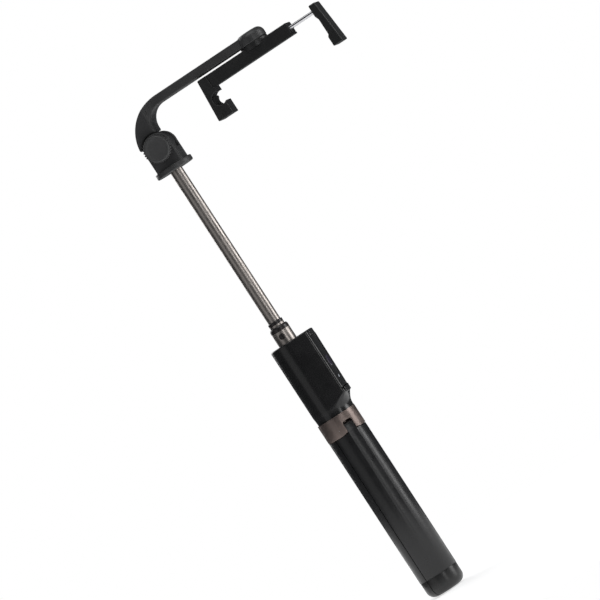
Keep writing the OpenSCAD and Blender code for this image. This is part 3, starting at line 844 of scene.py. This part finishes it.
@dataclass
class Handle(SubAssembly):
    """Hub, barrel and the housing that holds the remote."""

    grip_r: float = 12.5
    flare_r: float = 9.0
    flare_blend: float = 1.8
    back_r: float = 12.3
    corner_x: float = 12.7
    corner_y: float = 7.4
    corner_r: float = 2.1
    lip_out: float = 15.5
    lip_w: float = 12.6
    lip_h: float = 3.4
    bay_depth_x: float = 8.7
    bay_w: float = 13.8
    bay_z0: float = 133.4
    bay_z1: float = 169.2
    bay_round: float = 3.0
    top_soft: float = 0.8
    lip_soft: float = 0.45
    bay_soft: float = 0.3
    hub_soft: float = 0.35
    barrel_r: float = 7.03
    cap_seat_r: float = 10.93
    cap_seat_h: float = 1.8
    screw_r: float = 1.65
    screw_inset: float = 5.0
    cap_bore_r: float = 6.2
    cap_soft: float = 0.35
    cap_lead: float = 0.6

    def build(self) -> None:
        """Builds the handle's pieces."""
        rim = self.grip_r - 0.3
        hub = Solid.copy_of("hub").rounded(
            self.hub_soft, 3, CORNER, lambda at: math.hypot(at.x, at.y) > rim, True
        )
        self.piece(hub, "hub_casting", "handle", HUB, "hub_metal", ["hub"])
        self.piece(self.housing(), "housing", "handle", HOUSING, "black_plastic", ["housing_shell"])
        self.piece(self.cap(), "housing_collar", "handle", HOUSING, "black_plastic", ["housing_cap"])
        self.dress(STEEL, "leg_pins", "bay_screws")
        self.dress(INNER, "barrel_tube")
        self.dress(BUSH, "barrel_plug", "barrel_bush")

    def outline(self) -> list[Point]:
        """Plan of the housing: a round back, two flanks tangent to it and two rounded front corners."""
        x, y, r = self.corner_x, self.corner_y, self.corner_r
        lean = math.degrees(math.atan2(y, x) + math.acos((self.back_r - r) / math.hypot(x, y)))
        back = arc((0, 0), self.back_r, lean, 360 - lean, 72)
        right = arc((x, -y), r, -lean, 0, 8)
        left = arc((x, y), r, 0, lean, 8)
        return [
            *back, *line(back[-1], right[0], 12), *right, *line(right[-1], left[0], 16),
            *left, *line(left[-1], back[0], 12),
        ]

    def housing(self) -> Solid:
        """The housing, flared out of the hub's round and opened for the remote."""
        low, high = span("housing_shell")
        flare_z = low.z + 1

        def flared(point: Point, z: float) -> Point:
            """Draws a point in where the flare is narrower than the outline."""
            rise = max(z - flare_z, 0)
            if rise >= self.flare_r:
                return point
            limit = self.grip_r + self.flare_r - math.sqrt(self.flare_r**2 - rise**2)
            reach = math.hypot(*point)
            share = smooth_min(reach, limit, self.flare_blend) / reach
            return point[0] * share, point[1] * share

        steps = 30
        rises = [low.z + (self.flare_r + 1) * i / steps for i in range(steps + 1)]
        levels = [*rises[:-1], flare_z + self.flare_r, flare_z + self.flare_r + 2, high.z]
        shell = Solid.stack(self.outline(), levels, flared)
        shell.rounded(self.top_soft, 4, 60, lambda at: at.z > high.z - NEAR)
        for z in (self.bay_z0 - self.lip_h, self.bay_z1):
            lip = Solid.slab(
                (self.corner_x - 1, -self.lip_w / 2, z),
                (self.lip_out, self.lip_w / 2, z + self.lip_h),
            )
            shell.join(lip.rounded(self.lip_soft, 3, CREASE, lambda at: at.x > self.lip_out - NEAR))
        bay = rounded_rectangle(self.bay_w, self.bay_z1 - self.bay_z0, self.bay_round)
        middle = (self.bay_z0 + self.bay_z1) / 2
        bay = [(y, z + middle) for y, z in bay]
        shell.cut(Solid.prism(bay, self.bay_depth_x, 30, Axis.X))
        shell.rounded(
            self.bay_soft, 2, CORNER, lambda at: at.x > self.corner_x + 1.2 and at.z < high.z - 1
        )
        seat_z = high.z - self.cap_seat_h
        shell.cut(Solid.rod(self.barrel_r, low.z - 1, high.z + 1, Axis.Z, (0, 0, 0)))
        shell.cut(Solid.rod(self.cap_seat_r, seat_z, high.z + 1, Axis.Z, (0, 0, 0)))
        for z in (self.bay_z0 + self.screw_inset, self.bay_z1 - self.screw_inset):
            shell.cut(Solid.rod(self.screw_r, 7.5, 9, Axis.X, (0, 0, z)))
        return shell

    def cap(self) -> Solid:
        """The ring that closes the housing's top round the pole."""
        low, high = span("housing_cap")
        outer, bore, soft, lead = high.x, self.cap_bore_r, self.cap_soft, self.cap_lead
        profile = [
            (bore, low.z), (outer, low.z), (outer, high.z - soft),
            *arc((outer - soft, high.z - soft), soft, 0, 90, 4),
            *arc((bore + lead, high.z - lead), lead, 90, 180, 5),
        ]
        return Solid.lathe(profile)


@dataclass
class Legs(SubAssembly):
    """The three folding legs and their feet."""

    flat_width: float = field(default=6.0, init=False)
    grip_r: float = 12.5
    leg_soft: float = 0.3
    foot_soft: float = 0.3
    groove_w: float = 0.9
    groove_depth: float = 0.5
    groove_radii: tuple[float, ...] = (3.6, 6.0)
    wall: float = 1.2

    def build(self) -> None:
        """Builds the legs and feet."""
        for number in (1, 2, 3):
            body = f"leg_{number}"
            leg = Solid.copy_of(body).rounded(self.leg_soft, 2, CORNER, self.outside, True)
            self.piece(leg, f"leg_shell_{number}", body, LEG, "leg_plastic", [body])
            foot = self.foot(f"foot_{number}")
            self.piece(foot, f"foot_cap_{number}", body, FOOT, "foot_rubber", [f"foot_{number}"])

    def foot(self, node: str) -> Solid:
        """A foot with softened edges and grip grooves in its sole."""
        foot = Solid.copy_of(node)
        for radius in self.groove_radii:
            inner, outer = radius - self.groove_w / 2, radius + self.groove_w / 2
            top = self.groove_depth
            groove = [(inner, -1), (outer, -1), (outer, top), (inner, top)]
            foot.cut(Solid.lathe(groove, steps=72))
        return foot.rounded(self.foot_soft, 3, CORNER, self.outside, True)

    def outside(self, at: Vector) -> bool:
        """Whether an edge is on the outside of the folded legs."""
        return math.hypot(at.x, at.y) > self.grip_r - self.wall


@dataclass
class Pole(SubAssembly):
    """The three sliding tubes with their bushes and guides."""

    lip: float = 0.2
    peg_r: float = 1.75
    peg_z: float = 177.6
    peg_gap: float = 0.08
    lower: Point = (6.0, 5.5)
    middle: Point = (4.7, 4.3)
    upper: Point = (4.0, 3.6)

    def build(self) -> None:
        """Builds the sliding tubes."""
        lower = self.tube("stage1_tube", *self.lower)
        hole = Solid.rod(self.peg_r + self.peg_gap, 3, 8, Axis.Y, (0, 0, self.peg_z))
        lower.cut(hole.turned(Matrix.Rotation(math.pi, 4, "Z")))
        middle = self.tube("stage2_tube", *self.middle)
        upper = self.tube("stage3_tube", *self.upper)
        self.piece(lower, "lower_tube", "stage_1", POLE, "pole_metal", ["stage1_tube"])
        self.piece(middle, "middle_tube", "stage_2", POLE, "pole_metal", ["stage2_tube"])
        self.piece(upper, "upper_tube", "head", POLE, "pole_metal", ["stage3_tube"])
        self.piece(self.lower_bush(), "lower_bush", "stage_1", BUSH, "bush_plastic", ["stage1_bush"])
        self.piece(self.middle_bush(), "middle_bush", "stage_2", BUSH, "bush_plastic", ["stage2_bush"])
        self.dress(GUIDE, "stage1_guide", "stage2_guide", "stage3_guide")

    def tube(self, node: str, outer: float, bore: float) -> Solid:
        """A drawn tube with its edges broken.

        Args:
            node: The CAD node that it stands for, which gives its ends.
            outer: Outer radius.
            bore: Inner radius.

        Returns:
            The tube.
        """
        low, high = span(node)
        soft = self.lip
        section = [
            (bore + soft / 2, low.z), (outer - soft, low.z), (outer, low.z + soft),
            (outer, high.z - soft), (outer - soft, high.z), (bore + soft / 2, high.z),
            (bore, high.z - soft / 2), (bore, low.z + soft / 2),
        ]
        return Solid.lathe(section, steps=128)

    def lower_bush(self) -> Solid:
        """The lowest tube's bush: a sleeve, a collar with a tapered top, and the peg that holds it."""
        low, high = span("stage1_bush")
        seat = span("stage1_tube")[1].z
        bore, sleeve, outer = 4.75, 5.45, 6.05
        section = [
            (bore, low.z), (sleeve, low.z), (sleeve, seat), (outer - 0.15, seat), (outer, seat + 0.15),
            (outer, high.z - 1.05), (outer - 0.08, high.z - 0.85), (outer - 0.6, high.z - 0.1),
            (outer - 0.75, high.z), (bore + 0.3, high.z), (bore, high.z - 0.3),
        ]
        bush = Solid.lathe(section, steps=128)
        peg = Solid.lathe(
            [(0, -5.75), (1.3, -5.75), (self.peg_r, -5.45), (self.peg_r, -4.9), (0, -4.9)],
            Axis.Y, (0, 0, self.peg_z), 40,
        )
        return bush.join(peg)

    def middle_bush(self) -> Solid:
        """The middle tube's bush."""
        low, high = span("stage2_bush")
        seat, top = span("stage2_tube")[1].z, high.z - 0.05
        bore, sleeve, outer = 4.05, 4.27, 4.75
        section = [
            (bore, low.z), (sleeve, low.z), (sleeve, seat), (outer - 0.1, seat), (outer, seat + 0.1),
            (outer, top - 0.25), (outer - 0.25, top), (bore + 0.2, top), (bore, top - 0.2),
        ]
        return Solid.lathe(section, steps=96)


@dataclass
class Head(SubAssembly):
    """The bracket on the pole's top, and the knob that clamps the arm in it."""

    half_x: float = 9.1
    half_y: float = 9.0
    corner_r: float = 1.6
    skirt: float = 1.3
    slot_w: float = 6.6
    slot_r: float = 9.0
    knob_r: float = 8.35
    knob_ribs: int = 30
    flange_r: float = 12.2
    flange_h: float = 3.5
    flange_soft: float = 0.9
    shelf_soft: float = 0.6
    flow_r: float = 11.9
    top_soft: float = 0.55
    pole_r: float = 4.0
    pole_depth: float = 6.4
    screw_r: float = 2.1
    nut_flats: float = 7.0
    nut_gap: float = 0.1
    nut_depth: float = 3.2

    @property
    def tilt_z(self) -> float:
        """Height of the tilt axis."""
        return centre_of("tilt_screw").z

    def build(self) -> None:
        """Builds the head."""
        self.piece(self.bracket(), "head_casting", "head", HEAD, "head_plastic", ["head_bracket"])
        self.piece(self.knob(), "clamp_knob", "knob", KNOB, "head_plastic", ["tilt_knob"])
        self.piece(self.nut(), "captive_nut", "head", STEEL, "steel", ["tilt_nut"])
        self.dress(STEEL, "friction_washers", "tilt_screw")

    def bracket(self) -> Solid:
        """A round flange that flows up into a forked block with a round top."""
        base = span("head_bracket")[0].z
        tilt = self.tilt_z
        shelf = base + self.flange_h
        plan = rounded_rectangle(2 * self.half_x, 2 * self.half_y, self.corner_r, 6)
        block = Solid.prism(plan, base + 2, tilt + 12)
        side = [
            (-self.half_x, base + 1), (self.half_x, base + 1),
            *arc((0, tilt), self.half_x, 0, 180, 48),
        ]
        block.meet(Solid.prism(side, -12, 12, Axis.Y))
        block.rounded(self.top_soft, 3, 45, lambda at: at.z > tilt - NEAR)
        foot, top = self.flange_soft, self.shelf_soft
        flange = Solid.lathe(
            [
                (0, base), *arc((self.flange_r - foot, base + foot), foot, -90, 0, 5),
                *arc((self.flange_r - top, shelf - top), top, 0, 90, 4), (0, shelf),
            ],
            steps=128,
        )

        def flowing(point: Point, z: float) -> Point:
            """Spreads a point outwards in a hollow curve down to the flange."""
            drop = min(max((shelf + self.skirt - z) / self.skirt, 0), 1)
            grow = self.skirt * (1 - math.sqrt(1 - drop**2))
            reach = math.hypot(*point)
            share = smooth_min(reach + grow - 0.03, self.flow_r, 0.4) / reach
            return point[0] * share, point[1] * share

        rings = [shelf - 0.3 + (self.skirt + 0.3) * i / 10 for i in range(11)]
        block.join(flange, Solid.stack(plan, rings, flowing))
        half = self.slot_w / 2
        block.cut(
            Solid.rod(self.slot_r, -half, half, Axis.Y, (0, 0, tilt)),
            Solid.slab((-15, -half, tilt - 4.5), (15, half, tilt + 15)),
            Solid.rod(self.pole_r, base - 1, base + self.pole_depth, Axis.Z, (0, 0, 0)),
            Solid.rod(self.screw_r, -12, 12, Axis.Y, (0, 0, tilt)),
        )
        hexagon = arc((0, tilt), (self.nut_flats + self.nut_gap) / math.sqrt(3), 0, 300, 5)
        return block.cut(Solid.prism(hexagon, self.half_y - self.nut_depth, 12, Axis.Y))

    def knob(self) -> Solid:
        """A finely ribbed knob with a shallow dished face."""
        low, high = span("tilt_knob")
        outer, inner = -high.y, -low.y
        rim = self.knob_r - 0.5
        profile = [
            (2.0, outer), (rim - 0.5, outer), (rim, outer + 0.5), (rim, inner - 0.9),
            *arc((rim - 0.9, inner - 0.9), 0.9, 0, 90, 6)[1:],
            (rim - 1.5, inner), (rim - 1.9, inner - 0.28), (3.5, inner - 0.34), (0, inner - 0.36),
            (0, inner - 2), (2.0, inner - 2),
        ]
        knob = Solid.lathe(profile, steps=self.knob_ribs * 5)
        for i in range(self.knob_ribs):
            turn = math.tau * i / self.knob_ribs
            rib = Solid.slab((rim - 1.1, -0.42, outer + 0.6), (self.knob_r, 0.42, inner - 0.35))
            rib.rounded(0.22, 2, 35, lambda at: at.x > rim)
            knob.beside(rib.turned(Matrix.Rotation(turn, 4, "Z")))
        flip = Matrix.Rotation(math.radians(90), 4, "X")
        return knob.turned(flip, (0, 0, self.tilt_z))

    def nut(self) -> Solid:
        """The captive nut, with chamfered corners and a clear bore."""
        low, high = span("tilt_nut")
        size = self.nut_flats / math.sqrt(3)
        nut = Solid.prism(arc((0, self.tilt_z), size, 0, 300, 5), low.y, high.y, Axis.Y)
        crown = [
            (0, low.y - 0.1), (size, low.y - 0.1), (size, high.y - 0.3),
            (size - 0.6, high.y + 0.02), (0, high.y + 0.02),
        ]
        nut.meet(Solid.lathe(crown, Axis.Y, (0, 0, self.tilt_z), 72))
        return nut.cut(Solid.rod(2.05, low.y - 1, high.y + 1, Axis.Y, (0, 0, self.tilt_z)))


@dataclass
class Arm(SubAssembly):
    """The bent arm that carries the phone holder."""

    bar_t: float = 5.7
    bar_half: float = 6.3
    head_half: float = 9.0
    flank_r: float = 37.6
    flank_x: float = 17.0
    bend_r: float = 25.5
    bend_x: float = 15.0
    inner_r: float = 11.05
    inner_x: float = 15.2
    hollow_r: float = 9.4
    tail_rise: float = 3.6
    soft: float = 1.1
    knuckle_r: float = 9.2
    knuckle_soft: float = 4.2
    tongue_r: float = 8.6
    tongue_half: float = 2.9
    pivot_r: float = 2.1
    swivel_r: float = 1.5
    swivel_depth: float = 4.0

    def build(self) -> None:
        """Builds the arm."""
        self.piece(self.arm(), "bent_arm", "arm", HEAD, "head_plastic", ["arm"])
        self.dress(STEEL, "swivel_screw", "swivel_washer")

    def side(self, tilt: float, top: float, end: float) -> list[Point]:
        """Side view of the arm: a bend that thins into a bar.

        Args:
            tilt: Height of the tilt axis.
            top: Height of the bar's top.
            end: Where the bar ends on X.

        Returns:
            The outline in X and Z.
        """
        bottom = top - self.bar_t
        bend = (self.bend_x, top - self.bend_r)
        inner = (self.inner_x, bottom - self.inner_r)
        tail = tilt + self.tail_rise
        heel = 180 - math.degrees(math.asin((tail - bend[1]) / self.bend_r))
        rise = math.degrees(math.asin(self.tail_rise / self.hollow_r))
        wall = inner[0] - self.inner_r
        throat = math.degrees(math.acos(wall / self.hollow_r))
        return [
            *arc(bend, self.bend_r, 90, heel, 40),
            *arc((0, tilt), self.hollow_r, 180 - rise, throat, 24),
            *arc(inner, self.inner_r, 180, 90, 24),
            (end, bottom), (end, top),
        ]

    def plan(self, end: float) -> list[Point]:
        """Top view of the arm: wide at the head, narrowing to the bar."""
        centre = self.bar_half + self.flank_r
        reach = math.sqrt(self.flank_r**2 - (centre - self.head_half) ** 2)
        start = math.degrees(math.atan2(-(centre - self.head_half), -reach))
        flank = arc((self.flank_x, centre), self.flank_r, start, -90, 20)
        upper = [(-20, self.head_half), *flank, (end, self.bar_half)]
        return upper + [(x, -y) for x, y in reversed(upper)]

    def arm(self) -> Solid:
        """The whole arm with its tongue and its knuckle."""
        low, high = span("arm")
        tilt, swivel = centre_of("tilt_screw").z, centre_of("swivel_screw").x
        half = self.tongue_half
        top = high.z - 1
        shape = Solid.prism(self.side(tilt, top, swivel), -10, 10, Axis.Y)
        shape.meet(Solid.prism(self.plan(swivel + 1), tilt, top + 5))
        shape.rounded(self.soft, 4, 48, lambda at: at.x < swivel - 1)
        disc = arc((0, tilt), self.tongue_r, 0, 360, 96)[:-1]
        tongue = Solid.prism(disc, -half, half, Axis.Y).rounded(0.3, 2)
        stub = Solid.slab((-6.5, -half, tilt + 5), (3.5, half, tilt + 11.5))
        shape.join(tongue, stub)
        bottom, soft = top - self.bar_t, self.knuckle_soft
        crown = arc((self.knuckle_r - soft, high.z - soft), soft, 0, 90, 10)
        crown = [(r, max(z, bottom)) for r, z in crown]
        knuckle = [
            (0, bottom), (self.knuckle_r - 0.3, bottom), (self.knuckle_r, bottom + 0.3),
            *crown, (0, high.z),
        ]
        shape.join(Solid.lathe(knuckle, centre=(swivel, 0, 0), steps=128))
        return shape.cut(
            Solid.rod(self.pivot_r, -5, 5, Axis.Y, (0, 0, tilt)),
            Solid.rod(self.swivel_r, bottom - 1, bottom + self.swivel_depth, Axis.Z, (swivel, 0, 0)),
        )


@dataclass
class Holder(SubAssembly):
    """The swivelling bar of the phone holder, with the fixed jaw on its end."""

    wall: float = 1.0
    end_wall: float = 4.0
    jaw_half: float = 8.0
    groove_r: float = 4.1
    seat_r: float = 9.0
    boss_r: float = 3.1
    soft: float = 0.8
    face_soft: float = 0.5
    seat_h: float = 1.3
    seat_soft: float = 0.3
    bar_half: float = 7.0
    room_half: float = 6.0
    screw_r: float = 1.55
    rod_r: float = 1.0
    rod_gap: float = 0.08
    groove_from: float = 311.0
    groove_to: float = 73.0
    base_soft: float = 0.35

    def build(self) -> None:
        """Builds the holder."""
        self.piece(self.body(), "holder_bar", "holder", HOLDER, "black_plastic", ["holder_body"])
        under = span("holder_cover")[0].z + NEAR
        cover = Solid.copy_of("holder_cover").rounded(
            self.base_soft, 3, CREASE, lambda at: at.z < under, True
        )
        self.piece(cover, "holder_base", "holder", HOLDER, "black_plastic", ["holder_cover"])
        pad = Solid.copy_of("fixed_pad")
        self.piece(pad, "groove_lining", "holder", PAD, "pad_rubber", ["fixed_pad"])
        self.dress(BLACKED, "cover_screws")
        self.dress(SPRING, "jaw_springs")

    def body(self) -> Solid:
        """Bar, fixed jaw and swivel seat, moulded in one."""
        low, high = span("holder_body")
        cover_low, cover_high = span("holder_cover")
        swivel = centre_of("swivel_screw").x
        floor, roof = cover_low.z, high.z - self.seat_h
        x0, x1 = cover_low.x, cover_high.x
        groove = span("fixed_pad")[0]
        centre = (groove.x + self.groove_r, groove.z + self.groove_r)
        outline = [
            (low.x, low.z), (low.x + 10.3, low.z),
            *arc(centre, self.groove_r, self.groove_from, self.groove_to, 28),
            (low.x + 8.8, floor), (x0, floor),
            (x0, roof), (low.x + 1.9, roof),
        ]
        fixed = Solid.prism(outline, -self.jaw_half, self.jaw_half, Axis.Y)
        fixed.rounded(
            self.soft, 4, CORNER,
            lambda at: abs(at.y) < 1 and at.x < x0 - 0.5 and not self.in_groove(at, groove),
        )
        fixed.rounded(self.face_soft, 3, CORNER, lambda at: abs(at.y) > self.jaw_half - NEAR)
        bar = Solid.slab((x0 - 3, -self.bar_half, cover_high.z), (x1, self.bar_half, roof))
        bar.rounded(
            self.soft, 4, CORNER, lambda at: at.x > x0 and (at.z > roof - NEAR or at.x > x1 - NEAR)
        )
        soft = self.seat_soft
        rim = arc((self.seat_r - soft, high.z - soft), soft, 0, 90, 3)
        section = [(0, roof - 2), (self.seat_r, roof - 2), *rim, (0, high.z)]
        bar.join(fixed, Solid.lathe(section, centre=(swivel, 0, 0), steps=96))
        half = self.room_half
        room = Solid.slab((x0 + 2, -half, floor - 1), (x1 - self.end_wall, half, roof - self.wall))
        room.cut(Solid.rod(self.boss_r, floor + 3.2, roof, Axis.Z, (swivel, 0, 0)))
        rod_z, rod_y = centre_of("jaw_rods").z, span("jaw_rods")[1].y - self.rod_r
        pocket = Solid.slab((x0 - 2.5, -half, rod_z - 1.9), (x0 + 3, half, roof - self.wall))
        bar.cut(room, pocket, Solid.rod(self.screw_r, floor, high.z + 1, Axis.Z, (swivel, 0, 0)))
        inner, bore = x1 - self.end_wall - 1, self.rod_r + self.rod_gap
        for side in (-1, 1):
            bar.cut(Solid.rod(bore, inner, x1 + 1, Axis.X, (0, side * rod_y, rod_z)))
        return bar

    def in_groove(self, at: Vector, groove: Vector) -> bool:
        """Whether an edge is one of the groove's own."""
        return groove.z - NEAR < at.z < groove.z + 2 * self.groove_r + NEAR


@dataclass
class Jaw(SubAssembly):
    """The sprung jaw, its pad and its rods."""

    pad_ribs: int = 7
    rib_h: float = 0.25
    soft: float = 0.6
    stop_soft: float = 0.25
    rod_r: float = 1.0
    rod_soft: float = 0.2

    def build(self) -> None:
        """Builds the moving jaw."""
        jaw = Solid.copy_of("moving_jaw")
        jaw.rounded(self.soft, 4, CORNER, lambda at: not self.inside(at), True)
        self.piece(jaw, "sprung_jaw", "jaw", HOLDER, "black_plastic", ["moving_jaw"])
        self.piece(self.pad(), "jaw_lining", "jaw", PAD, "pad_rubber", ["moving_pad"])
        self.piece(self.rods(), "guide_rods", "jaw", CHROME, "chromed_rod", ["jaw_rods"])
        stop = Solid.copy_of("rod_stop").rounded(self.stop_soft, 2, CORNER, clamp=True)
        self.piece(stop, "stop_block", "jaw", STEEL, "steel", ["rod_stop"])

    def inside(self, at: Vector) -> bool:
        """Whether an edge is in the pad's recess or at the rods' holes."""
        low, high = span("moving_pad")
        recess = low.x - NEAR < at.x < high.x + NEAR and low.z - 0.1 < at.z < high.z + 0.1
        holes = abs(at.z - centre_of("jaw_rods").z) < 1.2 and 3.4 < abs(at.y) < 5.8
        return (recess and abs(at.y) < high.y + 0.1) or holes

    def pad(self) -> Solid:
        """A soft pad with shallow ribs across it."""
        low, high = span("moving_pad")
        pitch = (high.z - low.z) / self.pad_ribs
        face = []
        for i in range(self.pad_ribs):
            base = low.z + i * pitch
            face += [
                (low.x + self.rib_h, base), (low.x, base + pitch * 0.25),
                (low.x, base + pitch * 0.75), (low.x + self.rib_h, base + pitch * 0.999),
            ]
        outline = [*face, (high.x, high.z), (high.x, low.z)]
        return Solid.prism(outline, low.y, high.y, Axis.Y)

    def rods(self) -> Solid:
        """The two polished rods, with rounded ends."""
        low, high = span("jaw_rods")
        radius, soft = self.rod_r, self.rod_soft
        reach = high.y - radius
        height = (low.z + high.z) / 2
        profile = [
            (0, low.x), (radius - soft, low.x), (radius, low.x + soft),
            (radius, high.x - soft), (radius - soft, high.x), (0, high.x),
        ]
        pair = Solid.lathe(profile, Axis.X, (0, reach, height), 48)
        return pair.beside(Solid.lathe(profile, Axis.X, (0, -reach, height), 48))


@dataclass
class Remote(SubAssembly):
    """The remote shutter that docks in the housing."""

    wall: float = 1.1
    corner_r: float = 2.8
    edge: float = 0.7
    button_r: float = 3.8
    button_gap: float = 0.15
    button_flange: float = 0.8
    light_r: float = 1.0
    back_soft: float = 0.5

    def build(self) -> None:
        """Builds the remote."""
        self.piece(self.front(), "remote_face", "remote", REMOTE, "remote_plastic", ["remote_front"])
        self.piece(self.back(), "remote_tray", "remote", REMOTE, "remote_plastic", ["remote_back"])
        self.piece(self.button(), "shutter_key", "shutter", BUTTON, "button_plastic", ["shutter_button"])
        self.piece(self.window(), "pairing_window", "remote", WINDOW, "light_window", ["remote_lens"])
        self.dress(BOARD, "remote_board")
        self.dress(STEEL, "remote_cell", "shutter_dome")

    def outline(self, inset: float) -> list[Point]:
        """Outline of the remote in Y and Z.

        Args:
            inset: How far the outline is drawn in.

        Returns:
            The outline.
        """
        low, high = span("remote_front")
        middle = (low.z + high.z) / 2
        width, height = high.y - low.y - 2 * inset, high.z - low.z - 2 * inset
        corner_r = self.corner_r - inset
        return [(y, z + middle) for y, z in rounded_rectangle(width, height, corner_r)]

    def front(self) -> Solid:
        """The front shell, with a round opening for the key and one for the light."""
        low, high = span("remote_front")
        key, light = centre_of("shutter_button").z, centre_of("remote_lens").z
        shell = Solid.prism(self.outline(0), low.x, high.x, Axis.X)
        shell.rounded(self.edge, 4, CORNER, lambda at: at.x > high.x - NEAR)
        shell.cut(
            Solid.prism(self.outline(self.wall), low.x - 1, high.x - self.wall, Axis.X),
            Solid.rod(self.button_r + self.button_gap, low.x, high.x + 1, Axis.X, (0, 0, key)),
            Solid.rod(self.light_r, low.x, high.x + 1, Axis.X, (0, 0, light)),
        )
        return shell

    def back(self) -> Solid:
        """The back shell, a shallow tray."""
        low, high = span("remote_back")
        shell = Solid.prism(self.outline(0), low.x, high.x - 0.06, Axis.X)
        shell.rounded(self.back_soft, 3, CORNER, lambda at: at.x < low.x + NEAR)
        return shell.cut(Solid.prism(self.outline(self.wall), low.x + 1, high.x + 1, Axis.X))

    def button(self) -> Solid:
        """The key: a flanged disc with a dished top."""
        low, high = span("shutter_button")
        top, r, soft = high.x, self.button_r, 0.3
        wide = r + self.button_flange
        flange = span("remote_front")[1].x - self.wall - 0.1
        profile = [
            (0, low.x), (wide, low.x), (wide, flange), (r, flange),
            *arc((r - soft, top - soft), soft, 0, 90, 4),
            (r - 0.8, top - 0.05), (r - 1.4, top - 0.22), (0, top - 0.3),
        ]
        return Solid.lathe(profile, Axis.X, (0, 0, (low.z + high.z) / 2), 72)

    def window(self) -> Solid:
        """The small window over the pairing light."""
        low, high = span("remote_lens")
        r = self.light_r - 0.03
        profile = [(0, low.x), (r, low.x), (r, high.x - 0.15), (0.7, high.x), (0, high.x)]
        return Solid.lathe(profile, Axis.X, (0, 0, (low.z + high.z) / 2), 32)


# ---------------------------------------------------------------- studio


@dataclass
class Studio:
    """Camera, lights, world and floor."""

    azimuth: float = 12.0
    roll: float = 33.06
    field: float = 0.3522
    lens: float = 300.0
    across: float = 0.01935
    height: float = 0.1898
    sensor: float = 36.0
    floor_r: float = 0.45
    floor_drop: float = 0.0004
    aim: tuple[float, float, float] = (0.02, 0, 0.19)

    @property
    def back(self) -> Vector:
        """Direction from the object to the camera."""
        turn = math.radians(self.azimuth)
        return Vector((math.sin(turn), -math.cos(turn), 0))

    @property
    def right(self) -> Vector:
        """Direction to the camera's right, before it is rolled."""
        turn = math.radians(self.azimuth)
        return Vector((math.cos(turn), math.sin(turn), 0))

    def target(self) -> Vector:
        """The point that the camera looks at."""
        return self.right * self.across + Vector((0, 0, self.height))

    def camera(self) -> None:
        """Places the camera."""
        data = bpy.data.cameras.new("camera")
        data.lens, data.sensor_width = self.lens, self.sensor
        data.clip_start, data.clip_end = 0.1, 20
        made = bpy.data.objects.new("camera", data)
        bpy.context.scene.collection.objects.link(made)
        distance = self.field * self.lens / data.sensor_width
        roll = math.radians(self.roll)
        x = self.right * math.cos(roll) - UP * math.sin(roll)
        y = self.right * math.sin(roll) + UP * math.cos(roll)
        turn = Matrix((x, y, self.back)).transposed().to_4x4()
        made.matrix_world = Matrix.Translation(self.target() + self.back * distance) @ turn
        bpy.context.scene.camera = made

    def area(
        self,
        name: str,
        swing: float,
        lift: float,
        size: Point,
        power: float,
        distance: float = 1.2,
    ) -> None:
        """Adds an area light that faces the object.

        Args:
            name: The light's name.
            swing: Its angle round the object, in degrees to the right of the camera.
            lift: Its angle above the level, in degrees.
            size: Width and height in metres.
            power: Power in watts.
            distance: Distance from the object in metres.
        """
        data = bpy.data.lights.new(name, "AREA")
        data.shape, data.size, data.size_y, data.energy = "RECTANGLE", size[0], size[1], power
        made = bpy.data.objects.new(name, data)
        bpy.context.scene.collection.objects.link(made)
        round_z = Matrix.Rotation(math.radians(swing), 3, "Z")
        level = round_z @ self.back
        way = level * math.cos(math.radians(lift)) + UP * math.sin(math.radians(lift))
        made.location = Vector(self.aim) + way * distance
        made.rotation_mode = "QUATERNION"
        made.rotation_quaternion = way.to_track_quat("Z", "Y")

    def world(self) -> None:
        """White behind the object, and a soft grey in reflections."""
        made = bpy.data.worlds.new("studio")
        made.use_nodes = True
        made.node_tree.nodes.clear()
        wires = Wiring(made.node_tree)
        seen = wires.add("LightPath").outputs["Is Camera Ray"]
        dim = wires.add("Background", {"Color": (0.9, 0.95, 1, 1), "Strength": 0.06}).outputs[0]
        white = wires.add("Background", {"Color": (1, 1, 1, 1), "Strength": 1.0}).outputs[0]
        both = wires.add("MixShader", {0: seen, 1: dim, 2: white}).outputs[0]
        wires.add("OutputWorld", {0: both})
        bpy.context.scene.world = made

    def floor(self) -> None:
        """A round pale floor under the feet."""
        shape = Solid()
        bmesh.ops.create_circle(
            shape.bm, cap_ends=True, radius=self.floor_r / MM, segments=128
        )
        bmesh.ops.scale(shape.bm, vec=(MM,) * 3, verts=shape.bm.verts)
        mesh = bpy.data.meshes.new("floor")
        shape.bm.to_mesh(mesh)
        made = bpy.data.objects.new("floor", mesh)
        made.location = (0, 0, -self.floor_drop)
        bpy.context.scene.collection.objects.link(made)
        mesh.materials.append(CARD.material())

    def build(self) -> None:
        """Sets up the whole studio."""
        self.camera()
        self.world()
        self.floor()
        self.area("key", 84, 6, (0.42, 1.3), 7.5)
        self.area("strip", 24, 3, (0.16, 1.2), 2.0)
        self.area("fill", -48, 10, (0.8, 1.2), 1.1)
        self.area("top", 30, 72, (0.9, 0.9), 4)
        self.area("rear", 205, 25, (0.8, 1.0), 6)


def corners(box: tuple[Vector, Vector]) -> list[list[float]]:
    """A box's two corners as plain lists."""
    return [list(corner) for corner in box]


def main() -> None:
    """Builds the studio and every sub-assembly, and reports the pieces."""
    logging.basicConfig(level=logging.INFO, format="%(name)s: %(message)s")
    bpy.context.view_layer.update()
    bpy.context.scene.view_settings.view_transform = "Standard"
    Studio().build()
    for part in (Handle(), Legs(), Pole(), Head(), Arm(), Holder(), Jaw(), Remote()):
        part.build()
        LOG.info("%s: %d pieces", type(part).__name__, len(part.made))


if __name__ == "__main__":
    main()
